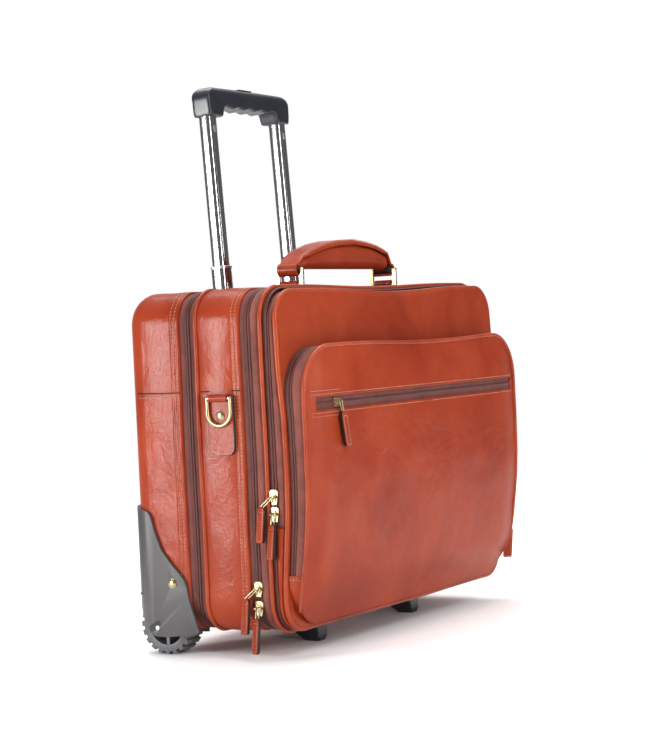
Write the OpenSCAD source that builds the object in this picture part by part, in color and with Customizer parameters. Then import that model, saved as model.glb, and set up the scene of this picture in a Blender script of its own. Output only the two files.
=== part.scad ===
// Rolling laptop case: five leather sections one in front of the other, joined by zips,
// on two wheels and two feet, with a telescopic trolley handle behind.
// +X is the case's left-to-right width, the front faces -Y, +Z is up and the floor is z = 0.

/* [Case] */
// Width of the leather body
case_w = 430; // [410:1:450]
// Height of the body's underside above the floor
body_z = 24; // [22:1:26]
// Height of the top of the rear and middle sections
case_top = 339; // [325:1:345]
// Corner radius of the sections, seen from the front
corner_r = 30; // [24:1:34]
// Height of the top of the front panel
panel_top = 335; // [320:1:337]
// Height of the top of the front pocket
pocket_top = 284; // [270:1:292]
// Corner radius at the top of the front pocket
pocket_r = 45; // [36:1:50]
// Thickness of leather with its backing foam
leather_t = 3; // [2.6:0.1:3.2]
// Thickness of the lining
lining_t = 1.2; // [1:0.1:1.4]

/* [Layers from rear to front] */
// Outer face of the rear wall
rear_y = 100; // [99:0.5:101]
// Radius of the rear section's upright rear edges
rear_edge_r = 22; // [20:0.5:23]
// Front edge of the rear section's leather
rear_front_y = 37; // [35:0.5:38]
// Parting line of the expander zip
zip1_y = 28; // [27:0.5:29]
// Rear face of the first piping
piping1_y = 20.3; // [20:0.1:21]
// Rear edge of the middle section's leather
middle_rear_y = 16; // [15.5:0.1:16.2]
// Front edge of the middle section's leather
middle_front_y = -30; // [-31:0.5:-29]
// Parting line of the main zip
zip2_y = -38.5; // [-39:0.5:-38]
// Rear face of the second piping
piping2_y = -50.8; // [-51:0.1:-50.5]
// Parting line of the organiser zip
zip3_y = -59.7; // [-60:0.1:-59.5]
// Rear face of the third piping
piping3_y = -70.6; // [-71:0.1:-70.4]
// Parting line of the pocket zip
zip4_y = -80.9; // [-81:0.1:-80.5]
// Outer face of the front pocket
pocket_y = -97; // [-97.5:0.1:-96.5]

/* [Trolley] */
// Distance of each tube from the middle of the case
tube_x = 64.8; // [60:0.1:70]
// Depth position of the tubes where they leave the top
tube_y = 84.5; // [84:0.5:85]
// Backward lean of the tubes in degrees
tube_lean = 3; // [2:0.5:3]
// Side of the inner square tube
tube_inner = 15; // [14:0.1:15]
// Wall of every tube
tube_wall = 1; // [0.9:0.1:1]
// Sliding clearance between two tubes, each side
tube_gap = 0.4; // [0.35:0.05:0.45]
// How far the middle tubes stand out
mid_out = 26; // [22:1:40]
// How far the grip's sockets stand above the top
grip_out = 176; // [150:1:200]
// Length of the grip
grip_len = 151; // [150:1:154]
// Depth of the grip
grip_d = 22; // [21:1:24]

/* [Wheels and feet] */
// Wheel radius over the tread
wheel_r = 28; // [27:0.5:28]
// Wheel width
wheel_w = 22; // [18:1:22]
// Wheel centre behind the middle of the case
wheel_y = 75; // [74:0.5:75]
// Axle radius
axle_r = 3; // [2.5:0.1:3.5]
// Running clearance of the wheel on its axle, radial
axle_fit = 0.05; // [0.02:0.01:0.09]
// Number of tread lugs
lug_count = 20; // [16:2:24]
// Distance of each foot from the middle of the case
foot_x = 92; // [80:1:100]

/* [Handle and rings] */
// Depth position of the carry handle
handle_y = -11; // [-12:0.5:-9]
// Distance of each handle ring from the middle of the case
ring_x = 92; // [88:1:96]
// Wire radius of the handle rings
ring_wire = 1.6; // [1.5:0.1:1.7]
// Distance between the two bars of a handle ring
ring_h = 14; // [13.5:0.5:15]
// Depth position of the side rings and their tabs
tab_y = -8; // [-9:0.5:-7]
// Height of the side rings' hinge bars
side_ring_z = 240; // [236:1:242]
// Wire radius of the side rings
side_wire = 1.7; // [1.5:0.1:1.7]

/* [Zips] */
// Height at which the organiser zip ends
zip3_end = 122; // [110:1:130]
// Height at which the pocket zip ends
zip4_end = 74; // [70:1:90]
// Height of the middle of the flat pocket's zip
flat_zip_z = 231.7; // [228:0.1:236]
// Height of each slider on the left side: main upper, main lower, organiser upper and lower
left_slider_z = [66, 48.5, 149.5, 134];
// Height of each slider of the pocket zip on the right side
right_slider_z = [100, 84];
// Length of a puller's leather
pull_len = 35; // [30:1:36]
// Sideways offset of an upper puller's leather, which hangs beside the lower slider
pull_aside = 10.5; // [10:0.1:11]

/* [Hidden] */
$fn = 48;

// Half of the case's width
half_w = case_w / 2;
// Half of the gap left at every parting line
part_gap = 0.15;
// How far zip tape and coil lie below the leather
tape_inset = 2;
coil_inset = 1;
tape_t = 1.4;
// Width of half a zip coil
coil_w = 2;
// Piping stands this far proud and reaches this far in
piping_out = 2;
piping_in = 3;
piping_w = 4.2;
// Underside of the front panel and pocket, which hang a little higher than the body
panel_z = body_z + 3;
pocket_z = body_z + 6;
panel_r = corner_r - 2;
// Front face of the front panel's leather
panel_y = piping3_y - 5;

// Back of the lining, in front of the trolley tubes, and front of the computer sleeve
lining_y = 57.5;
sleeve_y = 24;

// Wheel housing inside the rear lower corners
guard_t = 3;
guard_gap = 0.3;
rivet_y = 54.6;
rivet_z = 69.2;
// Clear of the guards' rounded rear corners
wheel_out_x = half_w - 12;
wheel_in_x = wheel_out_x - wheel_w;
well_x = wheel_in_x - 4.5;
well_y = wheel_y - wheel_r - 4;
well_z = 2 * wheel_r + 4;

// Tube sizes from the inside out
mid_hole = tube_inner + 2 * tube_gap;
mid_size = mid_hole + 2 * tube_wall;
outer_hole = mid_size + 2 * tube_gap;
outer_size = outer_hole + 2 * tube_wall;
tube_r = 3.2;
housing_len = 298;
mid_len = 284;
inner_len = 272;
bezel_top = 2.2;
bezel_depth = 16;

// Grip: full height, depth of its bar, width of a socket, height where its mouldings meet
grip_h = 31;
bar_h = 20;
socket_w = 25;
grip_split = 19;

// Height of the handle rings' lower bars, in the leather loops on the top
low_bar_z = case_top + 3.6;

// A slider's bail: distance in front of the coil and wire radius
bail_x = 4.2;
bail_r = 0.9;
// Where the flat pocket's slider is parked
flat_x = -161;

// Metal colours
brass_c = [0.80, 0.70, 0.45];
leather_c = [0.66, 0.27, 0.16];
tape_c = [0.42, 0.22, 0.20];
plastic_c = [0.22, 0.22, 0.23];

// ---------- outlines, drawn in X and Z ----------

function arc(cx, cz, r, a0, a1, n) =
    [for (i = [0:n]) let (a = a0 + (a1 - a0) * i / n) [cx + r * cos(a), cz + r * sin(a)]];

// Rounded rectangle centred on X, with one radius at the top and one at the bottom
function outline(hw, z0, z1, rt, rb, n = 7) = concat(
    arc(hw - rt, z1 - rt, rt, 0, 90, n),
    arc(rt - hw, z1 - rt, rt, 90, 180, n),
    arc(rb - hw, z0 + rb, rb, 180, 270, n),
    arc(hw - rb, z0 + rb, rb, 270, 360, n));

// Outline of the rear, middle and divider sections, moved in by i
module case_2d(i = 0) {
    polygon(outline(half_w - i, body_z + i, case_top - i, corner_r - i, corner_r - i));
}

// Outline of the front panel, moved in by i
module panel_2d(i = 0) {
    polygon(outline(half_w - i, panel_z + i, panel_top - i, panel_r - i, panel_r - i));
}

// Outline of the pocket, moved in by i, with its lower edge at height z0
module pocket_2d(i = 0, z0 = pocket_z) {
    polygon(outline(half_w - i, z0 + i, pocket_top - i, pocket_r - i, pocket_r - i));
}

// Extrude an X-Z drawing between two depths
module slab(y0, y1) {
    translate([0, max(y0, y1), 0])
        rotate([90, 0, 0])
            linear_extrude(abs(y1 - y0))
                children();
}

// A plain box given by its low and high corners
module span(a, b) {
    translate(a)
        cube(b - a);
}

// Rounded square, centred
module round_square(side, r) {
    h = side / 2 - r;
    polygon(concat(arc(h, h, r, 0, 90, 5), arc(-h, h, r, 90, 180, 5),
        arc(-h, -h, r, 180, 270, 5), arc(h, -h, r, 270, 360, 5)));
}

// Everything to the left and to the right
module both_sides() {
    children();
    mirror([1, 0, 0])
        children();
}

// A ring of one section's outline between two insets and two depths
module case_ring(i0, i1, y0, y1) {
    slab(y0, y1)
        difference() {
            case_2d(i0);
            case_2d(i1);
        }
}

module panel_ring(i0, i1, y0, y1) {
    slab(y0, y1)
        difference() {
            panel_2d(i0);
            panel_2d(i1);
        }
}

module pocket_ring(i0, i1, y0, y1) {
    slab(y0, y1)
        difference() {
            pocket_2d(i0);
            pocket_2d(i1);
        }
}

// Half a zip on the case outline: tape from edge_y to the parting line, coil at that line
module case_zip_half(edge_y, line_y) {
    side = sign(edge_y - line_y);
    case_ring(tape_inset, tape_inset + tape_t, line_y + side * part_gap, edge_y);
    case_ring(coil_inset, tape_inset + tape_t, line_y + side * part_gap, line_y + side * coil_w);
}

// Frame in which +Z runs up the leaning trolley tubes, with z = 0 at the case's top
module on_trolley() {
    translate([0, tube_y, case_top])
        rotate([-tube_lean, 0, 0])
            children();
}

// ---------- rear section ----------

// Solid form of the rear section, moved in by i, with rounded upright rear edges
module rear_form(i, front_y) {
    hull() {
        slab(front_y, rear_y - rear_edge_r)
            case_2d(i);
        for (a = [30, 60, 90])
            slab(rear_y - rear_edge_r, rear_y - rear_edge_r + (rear_edge_r - i) * sin(a))
                case_2d(i + (rear_edge_r - i) * (1 - cos(a)));
    }
}

// Space taken out of the section for each wheel
module wells(grow) {
    both_sides()
        span([-half_w - 10, well_y - grow, 0], [-well_x + grow, rear_y + 10, well_z + grow]);
}

// Opening in the top for the trolley's bezel
module bezel_form(grow) {
    span([-tube_x - 20 - grow, tube_y - 14 - grow, case_top - bezel_depth - grow],
        [tube_x + 20 + grow, tube_y + 12.5 + grow, case_top + bezel_top]);
}

module rear_shell() {
    color(leather_c)
        difference() {
            rear_form(0, rear_front_y);
            rear_form(leather_t, rear_front_y - 1);
            wells(0.1);
            bezel_form(0.1);
        }
}

// Lining box in front of the trolley tubes, stepped over the wheel housings
module lining_2d(i) {
    difference() {
        case_2d(leather_t + i);
        both_sides()
            translate([-half_w - 10, 0])
                square([half_w + 10 - well_x + i, well_z + i]);
    }
}

module rear_lining() {
    color([0.35, 0.24, 0.18])
        difference() {
            slab(rear_front_y, lining_y)
                lining_2d(0.1);
            slab(rear_front_y - 1, lining_y - lining_t)
                lining_2d(lining_t);
        }
}

// Stiff board against the inside of the rear wall
module rear_board() {
    color([0.15, 0.15, 0.16])
        difference() {
            slab(rear_y - leather_t - 2, rear_y - leather_t - 0.1)
                case_2d(rear_edge_r + 3);
            wells(0.5);
        }
}

// Moulded tray on the floor of the case, with sockets for the trolley's housing tubes
module base_tray() {
    color(plastic_c)
        difference() {
            union() {
                span([-well_x + 1, lining_y + 0.3, body_z + leather_t + 0.1],
                    [well_x - 1, rear_y - rear_edge_r, body_z + 6]);
                span([-tube_x - 16, lining_y + 0.3, body_z + 6],
                    [tube_x + 16, rear_y - 16, body_z + 26]);
            }
            on_trolley()
                both_sides()
                    translate([tube_x, 0, -housing_len - 1.5])
                        linear_extrude(60)
                            round_square(outer_size + 0.2, tube_r + 1.2);
        }
}

// Padded sleeve for the computer, in front of the trolley
module laptop_sleeve() {
    color([0.2, 0.2, 0.22])
        difference() {
            slab(sleeve_y, lining_y - lining_t - 0.1)
                polygon(outline(198, well_z + 5, 290, 5, 5));
            slab(sleeve_y + 4, lining_y - lining_t - 4)
                polygon(outline(194, well_z + 9, 330, 1.5, 1.5));
            span([-60, 0, 255], [60, sleeve_y + 5, 300]);
        }
}

module zip1_rear() {
    color(tape_c)
        case_zip_half(rear_front_y, zip1_y);
}

// ---------- wheel guards, axles and wheels ----------

// Side outline of a guard in Y and Z: bottom, front edge, top, then the cut-away rear corner
guard_side = concat(
    [[34, 21.5], [27, 24.5]],
    [[33.5, 43], [37.2, 56], [38.5, 64.5], [41.3, 72], [46.8, 78.8]],
    [[56, 88], [66, 100.5], [73, 118], [76.5, 131]],
    [[79, 135], [82, 136.5], [rear_y + 10, 142]],
    [[rear_y + 10, 68], [103, 60], [98.5, 47], [91, 33], [84, 23]],
    [[78, 19.5], [66, 19]]);

// Plan of the guard's wrap round the case's rear corner, thickness included
function guard_plan(out) = let (r = rear_edge_r + out, cx = half_w - rear_edge_r,
    cy = rear_y - rear_edge_r)
    concat([[-half_w - out, 18]], [for (a = [180:-10:90]) [-cx + r * cos(a), cy + r * sin(a)]],
        [[-well_x + 12, rear_y + out]]);

// The guard's skin: the wrap in plan, cut to its side outline
module guard_skin() {
    intersection() {
        linear_extrude(160)
            difference() {
                polygon(concat(guard_plan(guard_gap + guard_t), [[-well_x + 12, 18]]));
                polygon(concat(guard_plan(guard_gap), [[-well_x + 13, rear_y + guard_gap],
                    [-well_x + 13, 17], [-half_w - guard_gap, 17]]));
            }
        translate([-half_w - 10, 0, 0])
            rotate([90, 0, 90])
                linear_extrude(60)
                    polygon(guard_side);
    }
}

// Walls of the wheel housing, inside the skin
module guard_well() {
    inner_t = 3;
    inner_x = -well_x - 0.3;
    front_y = well_y + 0.5;
    roof_z = well_z - 0.3;
    span([-half_w - guard_gap, front_y, 21], [inner_x, front_y + 2, roof_z]);
    span([-half_w - guard_gap, front_y, roof_z - 2], [inner_x, rear_y - 6, roof_z]);
    span([inner_x - inner_t, front_y, 19], [inner_x, rear_y - 2, roof_z]);
}

module guard() {
    color([0.36, 0.36, 0.37])
        difference() {
            union() {
                guard_skin();
                guard_well();
            }
            translate([-half_w - 20, wheel_y, wheel_r])
                rotate([0, 90, 0])
                    cylinder(r = axle_r + 0.02, h = 60);
            translate([-half_w - 20, rivet_y, rivet_z])
                rotate([0, 90, 0])
                    cylinder(r = 2.02, h = 30);
        }
}

module guard_left() {
    guard();
}

module guard_right() {
    mirror([1, 0, 0])
        guard();
}

// Domed rivets that fix the guards to the leather
module guard_rivets() {
    color(brass_c)
        both_sides()
            translate([-half_w - guard_gap - guard_t, rivet_y, rivet_z])
                rotate([0, -90, 0]) {
                    cylinder(r1 = 4.6, r2 = 3, h = 1.6);
                    translate([0, 0, 0.1 - guard_t - guard_gap])
                        cylinder(r = 2, h = guard_t + guard_gap);
                }
}

// Steel axles fixed in the guards
module axles() {
    color([0.6, 0.6, 0.62])
        both_sides()
            translate([-half_w - guard_gap - guard_t + 0.8, wheel_y, wheel_r])
                rotate([0, 90, 0])
                    cylinder(r = axle_r, h = half_w + guard_gap + guard_t - 0.8 - well_x - 0.3);
}

// Spoked hub that runs on the axle
module wheel() {
    rim_out = wheel_r - 5;
    rim_in = wheel_r - 9;
    color([0.34, 0.34, 0.36])
        translate([-wheel_out_x, wheel_y, wheel_r])
            rotate([0, 90, 0])
                difference() {
                    union() {
                        difference() {
                            cylinder(r = rim_out, h = wheel_w);
                            translate([0, 0, -1])
                                cylinder(r = rim_in, h = wheel_w + 2);
                        }
                        cylinder(r = 7, h = wheel_w);
                        for (k = [0:5])
                            rotate([0, 0, 60 * k])
                                translate([0, -1.6, 2])
                                    cube([rim_in + 1, 3.2, wheel_w - 4]);
                    }
                    translate([0, 0, -1])
                        cylinder(r = axle_r + axle_fit, h = wheel_w + 2);
                }
}

// Tread ring with square lugs, one of them pointing straight down
module tyre() {
    rim_out = wheel_r - 5;
    color([0.30, 0.30, 0.32])
        translate([-wheel_out_x, wheel_y, wheel_r])
            rotate([0, 90, 0])
                difference() {
                    cylinder(r = wheel_r, h = wheel_w);
                    translate([0, 0, -1])
                        cylinder(r = rim_out + 0.01, h = wheel_w + 2);
                    for (k = [0:lug_count - 1])
                        rotate([0, 0, 360 / lug_count * (k + 0.5)])
                            translate([wheel_r - 2.6, -1.7, -1])
                                cube([4, 3.4, wheel_w + 2]);
                }
}

module wheel_left() {
    wheel();
}

module tyre_left() {
    tyre();
}

module wheel_right() {
    mirror([1, 0, 0])
        wheel();
}

module tyre_right() {
    mirror([1, 0, 0])
        tyre();
}

// ---------- trolley handle ----------

// A pair of square tubes, running down by len from height top
module tube_pair(size, hole, top, len) {
    on_trolley()
        both_sides()
            translate([tube_x, 0, top - len])
                linear_extrude(len)
                    difference() {
                        round_square(size, tube_r + (size - tube_inner) / 2);
                        round_square(hole, tube_r - 1 + (size - tube_inner) / 2);
                    }
}

module trolley_housing() {
    color([0.75, 0.75, 0.77])
        tube_pair(outer_size, outer_hole, 1.4, housing_len + 1.4);
}

module middle_tubes() {
    color([0.55, 0.55, 0.57])
        tube_pair(mid_size, mid_hole, mid_out, mid_len);
}

module inner_tubes() {
    color([0.6, 0.6, 0.62])
        tube_pair(tube_inner, tube_inner - 2 * tube_wall, grip_out + 12, inner_len + 12);
}

// Black block let into the case's top, that the tubes come out of
module trolley_bezel() {
    bore = outer_size / 2 + 0.1;
    color(plastic_c)
        difference() {
            bezel_form(0);
            translate([0, tube_y + 12.5, case_top + bezel_top])
                rotate([45, 0, 0])
                    cube([400, 1.6, 1.6], center = true);
            both_sides()
                span([tube_x - bore, tube_y - bore - 0.9, case_top - 20],
                    [tube_x + bore, tube_y + bore + 0.2, case_top + 10]);
        }
}

// Whole form of the grip, before it is split into two mouldings
module grip_form() {
    half = grip_len / 2;
    intersection() {
        translate([0, grip_d / 2, 0])
            rotate([90, 0, 0])
                linear_extrude(grip_d)
                    polygon(concat(
                        [[half - 1.5, 0]], arc(half - 12, grip_h - 13, 12, 0, 80, 5),
                        [[0, grip_h]],
                        arc(12 - half, grip_h - 13, 12, 100, 180, 5),
                        [[1.5 - half, 0], [socket_w - half, 0]],
                        [[socket_w - half + 4, grip_h - bar_h]],
                        [for (i = [1:15]) let (x = -41 + i * 82 / 16)
                            [x, grip_h - bar_h - 1 + 1.2 * cos(x * 360 / 20.5)]],
                        [[half - socket_w - 4, grip_h - bar_h], [half - socket_w, 0]]));
        translate([-half - 1, 0, 0])
            rotate([90, 0, 90])
                linear_extrude(grip_len + 2)
                    polygon(outline(grip_d / 2, -1, grip_h + 0.5, 9, 3));
    }
}

module grip_shell() {
    color([0.10, 0.11, 0.12])
        on_trolley()
            translate([0, 0, grip_out])
                difference() {
                    intersection() {
                        grip_form();
                        span([-100, -20, grip_split], [100, 20, 60]);
                    }
                    span([-54, -8, grip_split - 1], [54, 8, grip_h - 4]);
                    span([-12.4, -6.4, grip_split], [12.4, 6.4, grip_h + 5]);
                }
}

module grip_underside() {
    color([0.13, 0.14, 0.15])
        on_trolley()
            translate([0, 0, grip_out])
                difference() {
                    intersection() {
                        grip_form();
                        span([-100, -20, -1], [100, 20, grip_split]);
                    }
                    both_sides()
                        translate([tube_x, 0, -1])
                            linear_extrude(13)
                                round_square(tube_inner + 0.04, tube_r);
                }
}

// Push button in the top of the grip that frees the tubes' locks
module release_button() {
    color([0.05, 0.05, 0.06])
        on_trolley()
            translate([0, 0, grip_out]) {
                span([-12, -6, grip_h - 7], [12, 6, grip_h + 0.6]);
                span([-15, -7.5, grip_h - 8.5], [15, 7.5, grip_h - 4.5]);
            }
}

// ---------- middle section ----------

module middle_shell() {
    color(leather_c) {
        case_ring(0, leather_t, middle_rear_y, middle_front_y);
        case_ring(-piping_out, piping_in, middle_rear_y, piping1_y);
    }
}

module middle_lining() {
    color([0.35, 0.24, 0.18])
        case_ring(leather_t, leather_t + lining_t, middle_rear_y, middle_front_y);
}

module zip1_front() {
    color(tape_c)
        case_zip_half(piping1_y, zip1_y);
}

module zip2_rear() {
    color(tape_c)
        case_zip_half(middle_front_y, zip2_y);
}

// Moulded feet under the middle section, tapered to the floor
module feet() {
    color([0.08, 0.08, 0.09])
        both_sides()
            hull() {
                span([-foot_x - 13, -29, body_z - 2.5], [-foot_x + 13, 15, body_z]);
                span([-foot_x - 7, -29, 0], [-foot_x + 5, -13, 2]);
                span([-foot_x - 9, -30, 4], [-foot_x + 7, -10, 5]);
            }
}

// Leather tabs down each side, looped round the side rings' bars
module side_tabs() {
    tab_t = 3.2;
    tab_w = 28;
    loop_r = 3.6;
    bar_x = half_w + 5.3;
    color(leather_c)
        both_sides() {
            translate([-half_w - tab_t, tab_y, 0])
                rotate([90, 0, 90])
                    linear_extrude(tab_t)
                        polygon(concat([[tab_w / 2, side_ring_z + 4], [-tab_w / 2, side_ring_z + 4]],
                            arc(7 - tab_w / 2, 195, 7, 180, 270, 5),
                            arc(tab_w / 2 - 7, 195, 7, 270, 360, 5)));
            difference() {
                translate([-bar_x, tab_y + 9.5, side_ring_z])
                    rotate([90, 0, 0])
                        cylinder(r = loop_r, h = 19);
                translate([-bar_x, tab_y + 20, side_ring_z])
                    rotate([90, 0, 0])
                        cylinder(r = side_wire + 0.08, h = 40);
                span([-half_w - tab_t, -60, 200], [0, 40, 260]);
            }
        }
}

module tab_rivets() {
    color(brass_c)
        both_sides()
            translate([-half_w - 3.2, tab_y, 224])
                rotate([0, -90, 0])
                    cylinder(r1 = 4.5, r2 = 3, h = 1.5);
}

// Leather bases on the top with a loop round each handle ring's lower bar
module handle_tabs() {
    color(leather_c)
        both_sides()
            difference() {
                union() {
                    span([-ring_x - 15, handle_y - 9, case_top], [-ring_x + 15, handle_y + 9,
                        case_top + 1.8]);
                    translate([-ring_x, handle_y + 9, low_bar_z])
                        rotate([90, 0, 0])
                            cylinder(r = 3.6, h = 18);
                }
                translate([-ring_x, handle_y + 20, low_bar_z])
                    rotate([90, 0, 0])
                        cylinder(r = ring_wire + 0.08, h = 40);
                span([-ring_x - 20, handle_y - 20, case_top - 5], [-ring_x + 20, handle_y + 20,
                    case_top]);
            }
}

// ---------- side rings ----------

// D-shaped ring hanging from its bar
module side_ring() {
    reach = 12.5;
    drop = 12.5;
    bar_x = half_w + 5.3;
    color(brass_c)
        translate([-bar_x, tab_y, side_ring_z]) {
            rotate([90, 0, 0])
                cylinder(r = side_wire, h = 2 * reach, center = true);
            for (s = [-1, 1])
                translate([0, s * reach, -drop])
                    cylinder(r = side_wire, h = drop);
            for (s = [-1, 1])
                translate([0, s * reach, 0])
                    sphere(r = side_wire);
            translate([0, 0, -drop])
                rotate([0, 90, 0])
                    rotate([0, 0, -90])
                        rotate_extrude(angle = 180)
                            translate([reach, 0])
                                circle(r = side_wire);
        }
}

module side_ring_left() {
    side_ring();
}

module side_ring_right() {
    mirror([1, 0, 0])
        side_ring();
}

// ---------- carry handle ----------

// Rectangular ring: lower bar in the case's loop, upper bar in the handle's roll
module handle_ring() {
    half = 12.6;
    color(brass_c)
        translate([-ring_x, handle_y, low_bar_z]) {
            for (z = [0, ring_h])
                translate([0, 0, z])
                    rotate([90, 0, 0])
                        cylinder(r = ring_wire, h = 2 * half, center = true);
            for (s = [-1, 1]) {
                translate([0, s * half, 0])
                    cylinder(r = ring_wire, h = ring_h);
                for (z = [0, ring_h])
                    translate([0, s * half, z])
                        sphere(r = ring_wire);
            }
        }
}

module handle_ring_left() {
    handle_ring();
}

module handle_ring_right() {
    mirror([1, 0, 0])
        handle_ring();
}

// Padded leather handle: an arched bar with a roll round each ring
module carry_handle() {
    high_bar_z = low_bar_z + ring_h;
    roll_r = 6.4;
    arch_top = 386;
    arch_low = 357;
    top_arc = [for (i = [0:12]) let (x = 86 - i * 172 / 12)
        [x, high_bar_z + 4 + (arch_top - high_bar_z - 4) * (1 - pow(abs(x) / 86, 2.2))]];
    low_arc = [for (i = [0:8]) let (x = -80 + i * 20)
        [x, arch_low + 1.5 * (1 - pow(abs(x) / 80, 2)) - 1]];
    color(leather_c)
        difference() {
            union() {
                translate([0, handle_y + 13, 0])
                    rotate([90, 0, 0])
                        linear_extrude(26)
                            polygon(concat([for (p = top_arc) if (abs(p[0]) < 77) p],
                                [for (p = low_arc) if (abs(p[0]) < 77) p]));
                both_sides() {
                    translate([0, handle_y + 10.2, 0])
                        rotate([90, 0, 0])
                            linear_extrude(20.4)
                                polygon([[-70, 356.5], [-92, 352], [-95, 362], [-86, 363],
                                    [-70, 371]]);
                    translate([-ring_x, handle_y + 10.2, high_bar_z])
                        rotate([90, 0, 0])
                            cylinder(r = roll_r, h = 20.4);
                }
            }
            translate([-ring_x, handle_y + 20, high_bar_z])
                rotate([90, 0, 0])
                    cylinder(r = ring_wire + 0.08, h = 40);
            translate([ring_x, handle_y + 20, high_bar_z])
                rotate([90, 0, 0])
                    cylinder(r = ring_wire + 0.5, h = 40);
        }
}

// ---------- front organiser section ----------

module divider_panel() {
    color(leather_c) {
        slab(piping2_y - 1, piping2_y - piping_w + 1)
            case_2d(piping_in);
        case_ring(-piping_out, piping_in, piping2_y, piping2_y - piping_w);
    }
}

module zip2_front() {
    color(tape_c)
        case_zip_half(piping2_y, zip2_y);
}

module zip3_rear() {
    color(tape_c)
        case_zip_half(piping2_y - piping_w, zip3_y);
}

// Document slot and three pen loops on the divider
module organiser() {
    back_y = piping2_y - piping_w + 1;
    front_y = zip3_y + 1.2;
    color([0.30, 0.21, 0.16]) {
        difference() {
            span([-185, front_y, 34], [185, back_y, 165]);
            span([-183.5, front_y + 1.2, 35.5], [183.5, back_y + 5, 170]);
        }
        for (x = [-150, -130, -110])
            difference() {
                span([x - 7, front_y, 190], [x + 7, back_y, 235]);
                span([x - 5.8, front_y + 0.8, 189], [x + 5.8, back_y - 0.4, 236]);
            }
    }
}

// ---------- front panel ----------

module front_panel() {
    color(leather_c) {
        slab(piping3_y - 2, panel_y)
            panel_2d(piping_in);
        panel_ring(-piping_out, piping_in, piping3_y, panel_y - 0.4);
    }
}

module zip3_front() {
    color(tape_c)
        intersection() {
            union() {
                panel_ring(tape_inset, tape_inset + tape_t, zip3_y - part_gap, piping3_y);
                panel_ring(coil_inset, tape_inset + tape_t, zip3_y - part_gap, zip3_y - coil_w);
            }
            span([-300, -200, zip3_end], [300, 0, 400]);
        }
}

// Leather gusset below the end of the organiser zip
module front_gusset() {
    color(leather_c)
        intersection() {
            panel_ring(tape_inset - 1, tape_inset + 2, zip3_y - part_gap, piping3_y);
            span([-300, -200, 0], [300, 0, zip3_end - 0.1]);
        }
}

module zip4_rear() {
    color(tape_c)
        intersection() {
            union() {
                pocket_ring(tape_inset, tape_inset + tape_t, zip4_y + part_gap, panel_y - 0.5);
                pocket_ring(coil_inset, tape_inset + tape_t, zip4_y + part_gap, zip4_y + coil_w);
            }
            span([-300, -200, zip4_end], [300, 0, 400]);
        }
}

// ---------- front pocket ----------

// Depth of the pocket's face at each height: it curves back to the panel near its lower edge
pocket_side = [[0, 140], [1, 120], [4, 95], [8.5, 70], [14, 50], [18.5, pocket_z - 1]];

// Solid form of the pocket, moved in by i and back by j
module pocket_form(i, j, back_y) {
    intersection() {
        slab(back_y, pocket_y + j)
            pocket_2d(i);
        translate([-half_w, 0, 0])
            rotate([90, 0, 90])
                linear_extrude(2 * half_w)
                    polygon(concat([for (p = pocket_side) [pocket_y + j + p[0], p[1] + j]],
                        [[back_y + 1, pocket_z - 1], [back_y + 1, 400], [pocket_y + j, 400]]));
    }
}

// The slot in the pocket's face that the flat pocket's zip closes
module flat_slot(grow) {
    span([-197 - grow, pocket_y - 5, flat_zip_z - 6 - grow], [206 + grow, pocket_y + 5,
        flat_zip_z + 6 + grow]);
}

module pocket_shell() {
    back_y = panel_y - 0.7;
    color(leather_c)
        difference() {
            pocket_form(0, 0, back_y);
            pocket_form(leather_t, 2.5, back_y + 1);
            flat_slot(0);
            intersection() {
                pocket_ring(-1, tape_inset + tape_t + 0.1, pocket_y + 4.4, 0);
                span([-300, -200, zip4_end], [300, 0, 400]);
            }
        }
}

module zip4_front() {
    color(tape_c)
        intersection() {
            union() {
                pocket_ring(tape_inset, tape_inset + tape_t, zip4_y - part_gap, pocket_y + 4.4);
                pocket_ring(coil_inset, tape_inset + tape_t, zip4_y - part_gap, zip4_y - coil_w);
            }
            pocket_form(0.5, 0, panel_y);
            span([-300, -200, zip4_end + 0.1], [300, 0, 400]);
        }
}

// Zip of the flat pocket, set in its slot
module flat_zip() {
    color(tape_c) {
        span([-197, pocket_y + 0.9, flat_zip_z - 6], [206, pocket_y + 2.2, flat_zip_z + 6]);
        span([-197, pocket_y - 0.6, flat_zip_z - 1.6], [206, pocket_y + 1, flat_zip_z + 1.6]);
    }
}

// ---------- sliders and pullers ----------

// Drawn with the zip running up Z, outwards along -X and x = 0 on the zip's coil.
// On a sideways zip the body turns and the bail stays level.
module slider(sideways = false) {
    body = [[-2.6, -7], [2.6, -7], [4.4, 2], [4.4, 5.5], [2, 7], [-2, 7], [-4.4, 5.5], [-4.4, 2]];
    color(brass_c) {
        translate([-1.9, 0, 0])
            rotate([90, 0, 90])
                linear_extrude(1.6)
                    polygon([for (p = body) sideways ? [p[1], p[0]] : p]);
        for (s = [-1, 1])
            translate([-bail_x - 1.2, s * 3.7 - 0.6, -1.8])
                cube([bail_x - 0.4, 1.2, 3.6]);
        translate([-bail_x, 0, 0])
            rotate([90, 0, 0])
                cylinder(r = bail_r, h = 7, center = true);
    }
}

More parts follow.
